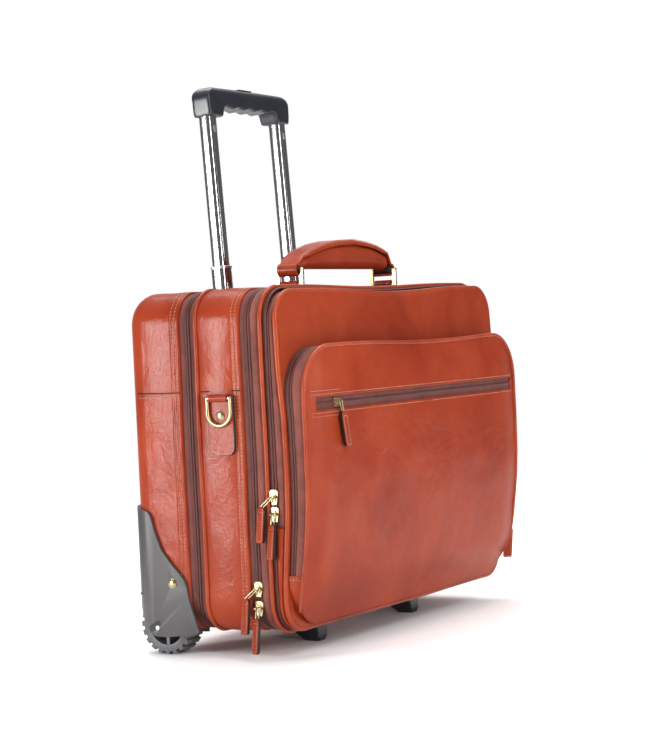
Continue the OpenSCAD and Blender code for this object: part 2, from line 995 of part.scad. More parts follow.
// A puller whose leather hangs beside its slider by the offset aside
module puller(aside = 0) {
    tab_x = bail_x - 0.2;
    color(leather_c)
        difference() {
            union() {
                translate([-bail_x, 0, 0])
                    rotate([90, 0, 0])
                        cylinder(r = 1.9, h = 5.4, center = true);
                translate([-tab_x - 1.2, 0, 0])
                    rotate([90, 0, 90])
                        linear_extrude(1.2)
                            polygon([[-2.6, 0], [2.6, 0], [2.6, -2.2], [2.6 + aside, -8],
                                [aside - 2.6, -8], [-2.6, -2.2]]);
                translate([-tab_x - 2.6, aside, 0])
                    rotate([90, 0, 90])
                        linear_extrude(2.6)
                            polygon(concat([[5, -7], [-5, -7]],
                                arc(-3, -7 - pull_len + 2, 2, 180, 270, 4),
                                arc(3, -7 - pull_len + 2, 2, 270, 360, 4)));
            }
            translate([-bail_x, 0, 0])
                rotate([90, 0, 0])
                    cylinder(r = bail_r + 0.08, h = 10, center = true);
        }
}

// Put a slider or puller on the left or right side, or on the pocket's face
module on_left(y, z) {
    translate([-half_w + coil_inset, y, z])
        children();
}

module on_right(y, z) {
    mirror([1, 0, 0])
        on_left(y, z)
            children();
}

module on_face(x, z) {
    translate([x, pocket_y - 0.6, z])
        rotate([0, 0, 90])
            children();
}

// Sliding piece of the expander zip, parked low on the right, with a stub puller
module expander_slider() {
    on_right(zip1_y, 150)
        color(brass_c) {
            slider();
            translate([-3.2, -2, -18])
                cube([1.6, 4, 12.5]);
        }
}

module main_slider_upper() {
    on_left(zip2_y, left_slider_z[0])
        slider();
}

module main_slider_lower() {
    on_left(zip2_y, left_slider_z[1])
        slider();
}

module organiser_slider_upper() {
    on_left(zip3_y, left_slider_z[2])
        slider();
}

module organiser_slider_lower() {
    on_left(zip3_y, left_slider_z[3])
        slider();
}

module pocket_slider_upper() {
    on_right(zip4_y, right_slider_z[0])
        slider();
}

module pocket_slider_lower() {
    on_right(zip4_y, right_slider_z[1])
        slider();
}

module flat_slider() {
    on_face(flat_x, flat_zip_z)
        slider(sideways = true);
}

module main_pull_upper() {
    on_left(zip2_y, left_slider_z[0])
        puller(pull_aside);
}

module main_pull_lower() {
    on_left(zip2_y, left_slider_z[1])
        puller();
}

module organiser_pull_upper() {
    on_left(zip3_y, left_slider_z[2])
        puller(pull_aside);
}

module organiser_pull_lower() {
    on_left(zip3_y, left_slider_z[3])
        puller();
}

module pocket_pull_upper() {
    on_right(zip4_y, right_slider_z[0])
        puller(pull_aside);
}

module pocket_pull_lower() {
    on_right(zip4_y, right_slider_z[1])
        puller();
}

module flat_pull() {
    on_face(flat_x, flat_zip_z)
        puller();
}

rear_shell();
rear_lining();
rear_board();
base_tray();
laptop_sleeve();
zip1_rear();
trolley_housing();
trolley_bezel();
guard_left();
guard_right();
guard_rivets();
axles();
wheel_left();
tyre_left();
wheel_right();
tyre_right();
middle_tubes();
inner_tubes();
grip_shell();
grip_underside();
release_button();
middle_shell();
middle_lining();
zip1_front();
zip2_rear();
feet();
side_tabs();
tab_rivets();
handle_tabs();
side_ring_left();
side_ring_right();
handle_ring_left();
handle_ring_right();
carry_handle();
divider_panel();
zip2_front();
zip3_rear();
organiser();
front_panel();
zip3_front();
front_gusset();
zip4_rear();
pocket_shell();
zip4_front();
flat_zip();
main_slider_upper();
main_slider_lower();
organiser_slider_upper();
organiser_slider_lower();
pocket_slider_upper();
pocket_slider_lower();
flat_slider();
main_pull_upper();
main_pull_lower();
organiser_pull_upper();
organiser_pull_lower();
pocket_pull_upper();
pocket_pull_lower();
flat_pull();
expander_slider();
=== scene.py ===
import math

import bmesh
import bpy
import numpy as np
from mathutils import Matrix, Vector, noise


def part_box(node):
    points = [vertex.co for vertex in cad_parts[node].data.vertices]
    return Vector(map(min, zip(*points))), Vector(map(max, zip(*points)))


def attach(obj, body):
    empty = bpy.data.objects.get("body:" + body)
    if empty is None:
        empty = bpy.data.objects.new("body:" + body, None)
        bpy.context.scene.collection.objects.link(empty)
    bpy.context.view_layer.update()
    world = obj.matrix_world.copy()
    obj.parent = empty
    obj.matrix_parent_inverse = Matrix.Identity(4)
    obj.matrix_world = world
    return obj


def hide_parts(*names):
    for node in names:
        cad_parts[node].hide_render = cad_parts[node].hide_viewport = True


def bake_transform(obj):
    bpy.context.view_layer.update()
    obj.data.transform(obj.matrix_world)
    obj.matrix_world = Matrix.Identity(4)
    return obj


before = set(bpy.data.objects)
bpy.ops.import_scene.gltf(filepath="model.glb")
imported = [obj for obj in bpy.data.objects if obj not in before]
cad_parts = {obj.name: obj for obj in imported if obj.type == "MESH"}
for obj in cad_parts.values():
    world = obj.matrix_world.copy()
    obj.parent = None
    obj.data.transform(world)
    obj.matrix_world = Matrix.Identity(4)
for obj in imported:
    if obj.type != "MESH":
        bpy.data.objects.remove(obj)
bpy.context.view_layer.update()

# Looks of a rolling laptop case round its CAD frame. Lengths are millimetres in the row frame
# (the front faces -Y, +Z is up) until mesh() makes them metres.
MM = 0.001
SIDES = ((-1, "left"), (1, "right"))


def box_mm(node):
    lo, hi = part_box(node)
    return np.array(lo) / MM, np.array(hi) / MM


# ---------- sizes read from the frame ----------

SHELL_LO, SHELL_HI = box_mm("rear_shell")
MIDDLE_LO, MIDDLE_HI = box_mm("middle_shell")
DIVIDER_LO, DIVIDER_HI = box_mm("divider_panel")
PANEL_LO, PANEL_HI = box_mm("front_panel")
POCKET_LO, POCKET_HI = box_mm("pocket_shell")
HALF_W = SHELL_HI[0]
CASE_Z0, CASE_Z1 = SHELL_LO[2], SHELL_HI[2]
PIPING_OUT = MIDDLE_HI[0] - HALF_W
PANEL_Z0, PANEL_Z1 = PANEL_LO[2] + PIPING_OUT, PANEL_HI[2] - PIPING_OUT
POCKET_Z0, POCKET_Z1 = POCKET_LO[2], POCKET_HI[2]
REAR_FRONT_Y, REAR_Y = SHELL_LO[1], SHELL_HI[1]
PIPE_W = DIVIDER_HI[1] - DIVIDER_LO[1]
PIPE1_Y = MIDDLE_HI[1]
MIDDLE_REAR_Y, MIDDLE_FRONT_Y = PIPE1_Y - PIPE_W - 0.1, MIDDLE_LO[1]
PIPE2_Y = DIVIDER_HI[1]
PIPE3_Y = PANEL_HI[1]
PANEL_Y = PANEL_LO[1]
POCKET_Y = POCKET_LO[1]


def parting(rear, front):
    return (box_mm(rear)[0][1] + box_mm(front)[1][1]) / 2


ZIP1_Y = parting("zip1_rear", "zip1_front")
ZIP2_Y = parting("zip2_rear", "zip2_front")
ZIP3_Y = parting("zip3_rear", "zip3_front")
ZIP4_Y = parting("zip4_rear", "zip4_front")
ZIP3_END = box_mm("zip3_front")[0][2]
ZIP4_END = box_mm("zip4_rear")[0][2] + 5
FLAT_LO, FLAT_HI = box_mm("flat_zip")
FLAT_Z = (FLAT_LO[2] + FLAT_HI[2]) / 2
CASE_R, PANEL_R, POCKET_R, REAR_EDGE_R = 30.0, 28.0, 45.0, 22.0
SEAM_Z = 246.0
TYRE_LO, TYRE_HI = box_mm("tyre_right")
WELL_X, WELL_Y, WELL_Z = TYRE_LO[0] - 4.5, TYRE_LO[1] - 4, TYRE_HI[2] + 4


# ---------- materials ----------

def new_material(name, rough, metal=0.0, **sockets):
    mat = bpy.data.materials.new(name)
    mat.use_nodes = True
    tree = mat.node_tree
    shader = tree.nodes["Principled BSDF"]
    shader.inputs["Roughness"].default_value = rough
    shader.inputs["Metallic"].default_value = metal
    for key, value in sockets.items():
        shader.inputs[key.replace("_", " ")].default_value = value
    return mat, tree, shader


def node(tree, kind, links=(), **settings):
    """A shader node with its settings; links are (input, output socket) pairs."""
    made = tree.nodes.new(kind)
    for key, value in settings.items():
        if hasattr(made, key):
            setattr(made, key, value)
        else:
            made.inputs[key.replace("_", " ")].default_value = value
    for key, socket in links:
        tree.links.new(socket, made.inputs[key])
    return made


def place(tree):
    return node(tree, "ShaderNodeTexCoord").outputs["Object"]


def noise_of(tree, at, scale, detail=3.0, rough=0.5, distortion=0.0):
    made = node(tree, "ShaderNodeTexNoise", [("Vector", at)], Scale=scale, Detail=detail,
                Roughness=rough, Distortion=distortion)
    return made.outputs["Fac"]


def ramp(tree, fac, stops):
    made = node(tree, "ShaderNodeValToRGB", [("Fac", fac)])
    made.color_ramp.elements.remove(made.color_ramp.elements[1])
    for k, (at, colour) in enumerate(stops):
        stop = made.color_ramp.elements[0] if k == 0 else made.color_ramp.elements.new(at)
        stop.position = at
        stop.color = (*colour, 1) if len(colour) == 3 else colour
    return made.outputs["Color"]


def blend_colour(tree, fac, a, b, mode="MIX"):
    made = tree.nodes.new("ShaderNodeMix")
    made.data_type = "RGBA"
    made.blend_type = mode
    for socket, value in zip((made.inputs[0], made.inputs[6], made.inputs[7]), (fac, a, b)):
        if isinstance(value, bpy.types.NodeSocket):
            tree.links.new(value, socket)
        else:
            socket.default_value = value if isinstance(value, float) else (*value, 1)
    return made.outputs[2]


def remap(tree, value, low, high):
    made = node(tree, "ShaderNodeMapRange", [("Value", value)])
    made.inputs["To Min"].default_value = low
    made.inputs["To Max"].default_value = high
    return made.outputs["Result"]


def bump(tree, height, distance, strength=1.0, under=None):
    links = [("Height", height)] + ([("Normal", under)] if under else [])
    return node(tree, "ShaderNodeBump", links, Distance=distance, Strength=strength).outputs["Normal"]


def leather(name, base, dark, light, rough=(0.34, 0.50), grain=0.00009, coat=0.25):
    """Glazed calf: cloudy dye, a paler bloom, fine pebbled grain and a few long creases."""
    mat, tree, shader = new_material(name, 0.4, Coat_Weight=coat, Coat_Roughness=0.16,
                                     Specular_IOR_Level=0.03)
    at = place(tree)
    cloud = noise_of(tree, at, 9, 4, 0.55, 0.6)
    mottle = noise_of(tree, at, 70, 5, 0.6)
    colour = ramp(tree, cloud, [(0.32, dark), (0.5, base), (0.72, light)])
    shade = remap(tree, mottle, 0.86, 1.12)
    tint = node(tree, "ShaderNodeCombineColor", [("Red", shade), ("Green", shade), ("Blue", shade)])
    colour = blend_colour(tree, 1.0, colour, tint.outputs[0], "MULTIPLY")
    tree.links.new(colour, shader.inputs["Base Color"])
    tree.links.new(remap(tree, mottle, *rough), shader.inputs["Roughness"])
    cells = node(tree, "ShaderNodeTexVoronoi", [("Vector", at)], Scale=950.0, Randomness=1.0)
    fine = bump(tree, cells.outputs["Distance"], grain, 0.55)
    pores = bump(tree, noise_of(tree, at, 300, 6, 0.65), grain * 2.6, 0.75, fine)
    dents = bump(tree, noise_of(tree, at, 95, 4, 0.6, 0.8), grain * 3.5, 0.45, pores)
    crease = bump(tree, noise_of(tree, at, 30, 5, 0.6, 1.8), grain * 14, 0.5, dents)
    tree.links.new(crease, shader.inputs["Normal"])
    tree.links.new(crease, shader.inputs["Coat Normal"])
    return mat


def cloth(name, colour, pitch=0.00075, rough=0.85, sheen=0.35, depth=0.00016):
    """Plain weave whose two threads run round the case and across its depth, with painted shade in the
    weave's valleys and a painted highlight on its crests.
    """
    mat, tree, shader = new_material(name, rough, Sheen_Weight=sheen, Sheen_Roughness=0.45)
    at = place(tree)
    split = node(tree, "ShaderNodeSeparateXYZ", [("Vector", at)])
    along = node(tree, "ShaderNodeMath", [(0, split.outputs[0]), (1, split.outputs[2])], operation="ADD")
    threads = []
    for source in (along.outputs[0], split.outputs[1]):
        turn = node(tree, "ShaderNodeMath", [(0, source)], operation="MULTIPLY")
        turn.inputs[1].default_value = math.tau / pitch
        threads.append(node(tree, "ShaderNodeMath", [(0, turn.outputs[0])], operation="SINE").outputs[0])
    weave = node(tree, "ShaderNodeMath", [(0, threads[0]), (1, threads[1])], operation="MULTIPLY")
    tone = noise_of(tree, at, 55, 4, 0.6)
    dark = tuple(0.68 * c for c in colour)
    light = tuple(min(1.0, 1.22 * c) for c in colour)
    dye = ramp(tree, tone, [(0.3, dark), (0.52, colour), (0.75, light)])
    # painted shade in the weave's valleys and a painted highlight on its crests, multiplied into the dye
    painted_weave_shading = ramp(tree, weave.outputs[0], [(0.0, (0.72, 0.70, 0.70)), (0.5, (1.08, 1.08, 1.08))])
    tree.links.new(blend_colour(tree, 1.0, dye, painted_weave_shading, "MULTIPLY"), shader.inputs["Base Color"])
    relief = bump(tree, weave.outputs[0], depth, 0.8)
    tree.links.new(bump(tree, noise_of(tree, at, 900, 4), depth, 0.4, relief), shader.inputs["Normal"])
    return mat


def metal(name, colour, rough, stretch=(1, 1, 1), scale=260.0, tarnish=0.85):
    mat, tree, shader = new_material(name, rough, 1.0)
    lines = node(tree, "ShaderNodeMapping", [("Vector", place(tree))])
    lines.inputs["Scale"].default_value = stretch
    wear = noise_of(tree, lines.outputs[0], scale, 5, 0.6)
    dull = tuple(tarnish * c for c in colour)
    tree.links.new(ramp(tree, wear, [(0.35, dull), (0.6, colour)]), shader.inputs["Base Color"])
    tree.links.new(remap(tree, wear, rough * 0.7, rough * 1.5), shader.inputs["Roughness"])
    tree.links.new(bump(tree, wear, 0.00001, 0.3), shader.inputs["Normal"])
    return mat


def plastic(name, colour, rough, grain=0.00004, scale=1500.0, gloss=0.5):
    mat, tree, shader = new_material(name, rough, Specular_IOR_Level=gloss)
    at = place(tree)
    tone = noise_of(tree, at, 40, 5, 0.6)
    dark = tuple(0.78 * c for c in colour)
    light = tuple(min(1.0, 1.25 * c) for c in colour)
    tree.links.new(ramp(tree, tone, [(0.3, dark), (0.7, light)]), shader.inputs["Base Color"])
    tree.links.new(remap(tree, tone, rough * 0.82, rough * 1.2), shader.inputs["Roughness"])
    tree.links.new(bump(tree, noise_of(tree, at, scale, 3), grain, 0.5), shader.inputs["Normal"])
    return mat


LEATHER = leather("leather", (0.265, 0.033, 0.011), (0.212, 0.022, 0.007), (0.31, 0.045, 0.016))
PIPING = leather("piping_leather", (0.29, 0.041, 0.014), (0.21, 0.025, 0.008), (0.35, 0.058, 0.020),
                 rough=(0.26, 0.40), coat=0.36)
STRIP = cloth("gusset_cloth", (0.235, 0.063, 0.045), pitch=0.0012, sheen=0.05)
TAPE = cloth("zip_tape", (0.150, 0.038, 0.029), pitch=0.0012, sheen=0.04)
COIL = plastic("zip_coil", (0.080, 0.020, 0.016), 0.50, scale=900.0, gloss=0.3)
LINING = cloth("lining_cloth", (0.16, 0.09, 0.055), pitch=0.0011)
# black edge paint of the leather's cut edges, also used as painted shade at the side seam and the axle
# slots
EDGE_PAINT_AND_SHADE = plastic("edge_paint_and_shade", (0.014, 0.011, 0.011), 0.42, gloss=0.3)
THREAD = cloth("thread", (0.60, 0.31, 0.18), pitch=0.0004, rough=0.7, sheen=0.1)
BRASS = metal("brass", (0.43, 0.35, 0.20), 0.27)
CHROME = metal("chrome", (0.50, 0.48, 0.50), 0.13, stretch=(1, 1, 0.04), scale=500.0)
SATIN_TUBE = metal("satin_tube", (0.60, 0.60, 0.62), 0.32, stretch=(1, 1, 0.04), scale=500.0)
STEEL = metal("steel", (0.52, 0.52, 0.54), 0.30)
BLACK = plastic("grip_plastic", (0.012, 0.014, 0.020), 0.30)
GUARD = plastic("guard_plastic", (0.048, 0.043, 0.044), 0.44, grain=0.00007)
WHEEL = plastic("wheel_plastic", (0.105, 0.103, 0.110), 0.50)
TYRE = plastic("tyre_rubber", (0.085, 0.084, 0.090), 0.60)
FOOT = plastic("foot_plastic", (0.010, 0.010, 0.013), 0.20)
BOARD = plastic("board", (0.035, 0.035, 0.038), 0.70)


# ---------- how the soft parts settle ----------

def ease(a, b, v):
    t = np.clip((v - a) / (b - a), 0, 1)
    return t * t * (3 - 2 * t)


def through(v, points):
    """A smooth value through (position, value) points."""
    at, value = zip(*sorted(points))
    return np.interp(v, at, value)


def lean(z):
    """How far the front panel's rim sits back from its plane at each height."""
    return through(z, [(27, 5.7), (67, 5.4), (92, 3.8), (133, 0.6), (170, -0.6), (219, -0.4),
                       (267, 3.0), (319, 4.6), (340, 5.0)])


def pocket_rim(z):
    """Depth of the pocket's piping at each height: it runs back to the panel near the bottom."""
    return through(z, [(30, -72.6), (46, -75.6), (58, -80.6), (67, -83.6), (80, -86.4), (93, -88.6),
                       (111, -91.0), (133, -93.6), (160, -95.2), (200, -95.6), (290, -95.4)])


def settle(v):
    """Moves points of the soft parts from the crisp plan to how a filled leather case stands."""
    v = np.array(v, float)
    x, y, z = v[:, 0].copy(), v[:, 1].copy(), v[:, 2].copy()
    back = lean(z)
    front = y < PANEL_Y - 0.5
    share = np.clip((ZIP3_Y - 2 - y) / (ZIP3_Y - 2 - PIPE3_Y), 0, 1)
    v[:, 1] = y + share * back
    rear_edge, rim_plan = PANEL_Y - 0.5, POCKET_Y + 1.6
    depth = (rear_edge - y) / (rear_edge - rim_plan)
    base = rear_edge + back
    v[:, 1] = np.where(front, base + depth * (pocket_rim(z) - base), v[:, 1])
    forward = ease(-30, -72, y)
    v[:, 2] -= 3.6 * forward * ease(286, 330, z) * np.exp(-((x - 5) / 95) ** 2)
    v[:, 2] -= 2.6 * (y < ZIP4_Y + 6) * ease(236, 280, z) * np.exp(-((x - 25) / 105) ** 2)
    free = ease(60, 20, y) + ease(130, 175, z) * ease(70, 62, y)
    free = np.clip(free, 0, 1)
    v[:, 0] += 0.55 * free * np.sin(z / 31 + 1.7 * np.sin(y / 23)) * np.sign(x)
    v[:, 2] += 0.45 * free * np.sin(x / 43 + y / 29 + 0.7)
    return v


# ---------- outlines ----------

class Path:
    """Points and outward normals along a section's edge, in X and Z, clockwise from the bottom."""

    def __init__(self, points, normals, closed=True):
        self.points, self.normals, self.closed = np.array(points), np.array(normals), closed

    def finer(self, step):
        p, n = self.points, self.normals
        if self.closed:
            p, n = np.vstack([p, p[:1]]), np.vstack([n, n[:1]])
        length = np.r_[0, np.cumsum(np.linalg.norm(np.diff(p, axis=0), axis=1))]
        count = max(3, int(round(length[-1] / step)))
        at = np.linspace(0, length[-1], count + 1)
        at = at[:-1] if self.closed else at
        made = [np.column_stack([np.interp(at, length, a[:, k]) for k in (0, 1)]) for a in (p, n)]
        made[1] /= np.linalg.norm(made[1], axis=1)[:, None]
        return Path(made[0], made[1], self.closed)

    def cut(self, z, above):
        """The open part of a closed path above or below a height."""
        fine = self.finer(1.0)
        keep = fine.points[:, 1] > z if above else fine.points[:, 1] < z
        start = next(i for i in range(len(keep)) if keep[i] and not keep[i - 1])
        order = [(start + k) % len(keep) for k in range(int(keep.sum()))]
        made = Path(fine.points[order], fine.normals[order], False)
        made.points[0, 1] = made.points[-1, 1] = z
        return made.finer(4.0)


def outline(half, z0, z1, top_r, bottom_r, step=5.0):
    points, normals = [], []

    def line(a, b, normal):
        count = max(1, int(math.dist(a, b) / step))
        for k in range(count):
            points.append([a[i] + (b[i] - a[i]) * k / count for i in (0, 1)])
            normals.append(normal)

    def arc(cx, cz, r, a0, a1):
        for k in range(12):
            a = math.radians(a0 + (a1 - a0) * k / 12)
            points.append([cx + r * math.cos(a), cz + r * math.sin(a)])
            normals.append([math.cos(a), math.sin(a)])

    line((0, z0), (bottom_r - half, z0), (0, -1))
    arc(bottom_r - half, z0 + bottom_r, bottom_r, 270, 180)
    line((-half, z0 + bottom_r), (-half, z1 - top_r), (-1, 0))
    arc(top_r - half, z1 - top_r, top_r, 180, 90)
    line((top_r - half, z1), (half - top_r, z1), (0, 1))
    arc(half - top_r, z1 - top_r, top_r, 90, 0)
    line((half, z1 - top_r), (half, z0 + bottom_r), (1, 0))
    arc(half - bottom_r, z0 + bottom_r, bottom_r, 0, -90)
    line((half - bottom_r, z0), (0, z0), (0, -1))
    return Path(points, normals)


CASE = outline(HALF_W, CASE_Z0, CASE_Z1, CASE_R, CASE_R)
PANEL = outline(HALF_W, PANEL_Z0, PANEL_Z1, PANEL_R, PANEL_R)
POCKET = outline(HALF_W, POCKET_Z0, POCKET_Z1, POCKET_R, POCKET_R)


# ---------- meshes ----------

def mesh(name, body, verts, faces, mats, ids=None, slot=None, stands_for=(), sharp=38, subdivide=0):
    """A piece from points in millimetres, riding on a body."""
    data = bpy.data.meshes.new(name)
    data.from_pydata([tuple(p) for p in np.asarray(verts, float) * MM], [], faces)
    mats = mats if isinstance(mats, list) else [mats]
    for mat in mats:
        data.materials.append(mat)
    if ids is not None:
        data.polygons.foreach_set("material_index", ids)
    return adopt(name, body, data, slot, stands_for, sharp, subdivide)


def face_outward(data):
    work = bmesh.new()
    work.from_mesh(data)
    bmesh.ops.recalc_face_normals(work, faces=work.faces)
    work.to_mesh(data)
    work.free()


def adopt(name, body, data, slot=None, stands_for=(), sharp=38, subdivide=0):
    """Makes a finished mesh a piece of the object."""
    face_outward(data)
    data.polygons.foreach_set("use_smooth", [True] * len(data.polygons))
    data.set_sharp_from_angle(angle=math.radians(sharp))
    made = bpy.data.objects.new(name, data)
    bpy.context.scene.collection.objects.link(made)
    if subdivide:
        made.modifiers.new("round", "SUBSURF").levels = subdivide
        made.modifiers["round"].render_levels = subdivide
    if body:
        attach(made, body)
    if stands_for:
        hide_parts(*stands_for)
    return made


def sweep(path, profile, ripple=None, closed_profile=True):
    """Verts and faces of a (depth, outward) profile carried along a path."""
    n, m = len(path.points), len(profile)
    prof = np.array(profile, float)
    out = np.tile(prof[:, 1], (n, 1))
    if ripple is not None:
        out = out + ripple(np.arange(n))[:, None] * np.ones(m)
    p = path.points[:, None, :] + path.normals[:, None, :] * out[:, :, None]
    depth = np.tile(prof[:, 0], (n, 1))
    verts = np.stack([p[:, :, 0], depth, p[:, :, 1]], axis=2).reshape(-1, 3)
    faces = []
    for i in range(n if path.closed else n - 1):
        k = (i + 1) % n
        for j in range(m if closed_profile else m - 1):
            l = (j + 1) % m
            faces.append((i * m + j, k * m + j, k * m + l, i * m + l))
    if not path.closed and closed_profile:
        faces.append(tuple(range(m)))
        faces.append(tuple((n - 1) * m + j for j in reversed(range(m))))
    return verts, faces


def swept(name, body, path, profile, mat, slot, stands_for=(), ripple=None, **options):
    verts, faces = sweep(path, profile, ripple)
    return mesh(name, body, settle(verts), faces, mat, slot=slot, stands_for=stands_for, **options)


def disc(y, off, r, count=12):
    return [(y + r * math.cos(math.tau * k / count), off + r * math.sin(math.tau * k / count))
            for k in range(count)]


def ring_faces(count, n, first=0, capped=True):
    """Quads between count rings of n points each, and if capped, the two ends."""
    faces = [(first + k * n + i, first + k * n + (i + 1) % n, first + (k + 1) * n + (i + 1) % n,
              first + (k + 1) * n + i) for k in range(count - 1) for i in range(n)]
    if capped:
        last = first + (count - 1) * n
        faces += [tuple(first + i for i in reversed(range(n))), tuple(last + i for i in range(n))]
    return faces


def cut_ends(count, n):
    """Ends of a stack of count rings, each ring an outer arc followed by the inner one backwards."""
    return [(k * n + i, k * n + i + 1, k * n + n - 2 - i, k * n + n - 1 - i)
            for k in (0, count - 1) for i in range(n // 2 - 1)]


def extruded(ring, y, width, levels):
    """An outline in X and Z repeated at levels across a width in Y."""
    sheets = [np.column_stack([ring[:, 0], np.full(len(ring), y + width * t), ring[:, 1]]) for t in levels]
    return np.vstack(sheets)


def thicken(made, thickness):
    """Gives a one-sided piece its thickness."""
    solid = made.modifiers.new("thickness", "SOLIDIFY")
    solid.thickness = thickness * MM
    return solid


def grain_wrinkle(verts, amount, size):
    """Shallow dents in a leather surface, as a shift along each point's own noise."""
    shift = [noise.fractal(Vector(p) / size, 0.8, 2.0, 3) for p in verts]
    return amount * np.array(shift)


# ---------- stitches ----------

STITCHES = {}


def stitch_row(body, line, outward, pitch=3.3, length=2.3, r=0.40):
    """Collects a row of stitches along a line of points, each lifted along outward."""
    line, outward = np.array(line, float), np.array(outward, float)
    steps = np.linalg.norm(np.diff(line, axis=0), axis=1)
    at = np.r_[0, np.cumsum(steps)]
    for s in np.arange(pitch / 2, at[-1] - length / 2, pitch):
        centre = np.array([np.interp(s, at, line[:, k]) for k in range(3)])
        ahead = np.array([np.interp(s + 0.5, at, line[:, k]) for k in range(3)])
        up = np.array([np.interp(s, at, outward[:, k]) for k in range(3)])
        STITCHES.setdefault(body, []).append((centre, ahead - centre, up, length, r))


def sew():
    """Makes one mesh of each body's stitches: little arched spindles of thread."""
    for body, rows in STITCHES.items():
        verts, faces = [], []
        for centre, ahead, up, length, r in rows:
            t = ahead / max(np.linalg.norm(ahead), 1e-9)
            u = up / max(np.linalg.norm(up), 1e-9)
            s = np.cross(t, u)
            k = len(verts)
            verts.append(centre - t * length / 2 - u * r * 0.8)
            for along in (-0.26, 0.26):
                mid = centre + t * length * along + u * r * 0.35
                verts += [mid + s * r, mid + u * r, mid - s * r, mid - u * r]
            verts.append(centre + t * length / 2 - u * r * 0.8)
            for j in range(4):
                l = (j + 1) % 4
                faces += [(k, k + 1 + j, k + 1 + l), (k + 1 + j, k + 5 + j, k + 5 + l, k + 1 + l),
                          (k + 9, k + 5 + l, k + 5 + j)]
        mesh(f"stitches_{body}", body, verts, faces, THREAD, sharp=80)


def ring_stitches(body, path, y, off, **options):
    loop = path.finer(2.0)
    p = loop.points + loop.normals * off
    line = np.column_stack([p[:, 0], np.full(len(p), y), p[:, 1]])
    out = np.column_stack([loop.normals[:, 0], np.zeros(len(p)), loop.normals[:, 1]])
    stitch_row(body, settle(line), out, **options)


# ---------- leather sections ----------

def lay_leather(name, body, path, profile, stands_for, skip=None):
    """A section's leather: the profile swept round, with shallow dents and an optional cut-out."""
    fine = path.finer(4.0)
    verts, faces = sweep(fine, profile)
    if skip:
        centres = np.array([verts[list(f)].mean(0) for f in faces])
        faces = [f for f, c in zip(faces, centres) if not skip(c)]
    m = len(profile)
    dent = grain_wrinkle(verts, 0.42, 38) * (np.array([p[1] for p in profile] * len(fine.points)) > -0.9)
    out = np.repeat(fine.normals, m, axis=0)
    verts[:, 0] += out[:, 0] * dent
    verts[:, 2] += out[:, 1] * dent
    return mesh(name, body, settle(verts), faces, LEATHER, slot="leather", stands_for=stands_for)


def in_well(c):
    return abs(c[0]) > WELL_X - 1 and c[1] > WELL_Y - 1 and c[2] < WELL_Z + 1


def under_bezel(c):
    lo, hi = BEZEL
    return lo[0] + 4 < c[0] < hi[0] - 4 and lo[1] + 3 < c[1] < hi[1] - 3 and c[2] > CASE_Z1 - 8


BEZEL = box_mm("trolley_bezel")


def groove(y, lift):
    """A stitch line pressed a little into the leather."""
    return [(y - 0.9, lift), (y, lift - 0.28), (y + 0.9, lift)]


def rear_section():
    y0 = REAR_FRONT_Y
    side_end = REAR_Y - REAR_EDGE_R
    outer = [(y0 + 0.1, -0.9), (y0 + 0.5, -0.1), (y0 + 1.4, 0.2)]
    outer += groove(y0 + 4.2, 0.25) + groove(y0 + 8.6, 0.25)
    outer += [(y0 + 11, 0.35), (y0 + 16, 0.1), (y0 + 26, 0.15)]
    outer += [(BEZEL[0][1] + 3, 0.1), (side_end - 4, 0.05), (side_end, 0)]
    for k in range(1, 9):
        a = math.radians(90 * k / 8)
        outer.append((side_end + REAR_EDGE_R * math.sin(a), -REAR_EDGE_R * (1 - math.cos(a))))
    inner = [(REAR_Y - 3, -REAR_EDGE_R), (REAR_Y - 4.5, -13), (side_end + 12, -6), (side_end, -3),
             (BEZEL[0][1] + 3, -3), (y0 + 0.6, -3), (y0, -2.2)]
    lay_leather("rear_leather", "rear_case", CASE, outer + inner, ["rear_shell"],
                skip=lambda c: in_well(c) or under_bezel(c))
    back_panel()
    for y in (y0 + 4.2, y0 + 8.6):
        ring_stitches("rear_case", CASE, y, 0.12)
    side_seam("rear_seam", "rear_case", y0 + 1, side_end + 8)


def row_levels(z0, z1, step, extra=()):
    levels = list(np.linspace(z0, z1, int((z1 - z0) / step) + 1)) + list(extra)
    return sorted(set(round(float(v), 3) for v in levels))


def width_at(z, half, z0, z1, top_r, bottom_r):
    """Half width of a rounded rectangle at a height."""
    if z > z1 - top_r:
        return half - top_r + math.sqrt(max(0.0, top_r**2 - (z - z1 + top_r) ** 2))
    if z < z0 + bottom_r:
        return half - bottom_r + math.sqrt(max(0.0, bottom_r**2 - (z0 + bottom_r - z) ** 2))
    return half


def grid_faces(rows, columns):
    """Faces over a grid of points that is listed row by row."""
    return [(i * columns + j, i * columns + j + 1, (i + 1) * columns + j + 1, (i + 1) * columns + j)
            for i in range(rows - 1) for j in range(columns - 1)]


def sheet_face(half, z0, z1, top_r, bottom_r, depth, step=5.0, rows=(), columns=(), hole=None):
    """Grid inside a rounded rectangle whose depth is a function of x and z."""
    levels = row_levels(z0, z1, step, rows)
    levels += [z1 - 0.4, z1 - 1.5, z0 + 0.4, z0 + 1.5]
    levels = sorted(set(levels))
    across = sorted(set([round(float(u), 4) for u in np.linspace(-1, 1, int(2 * half / step))]
                        + [round(c / half, 4) for c in columns]))
    verts = []
    for z in levels:
        w = width_at(z, half, z0, z1, top_r, bottom_r)
        verts += [[u * w, 0, z] for u in across]
    verts = np.array(verts)
    verts[:, 1] = depth(verts[:, 0], verts[:, 2])
    faces = [face for face in grid_faces(len(levels), len(across))
             if not (hole and hole(verts[list(face)].mean(0)))]
    return verts, faces


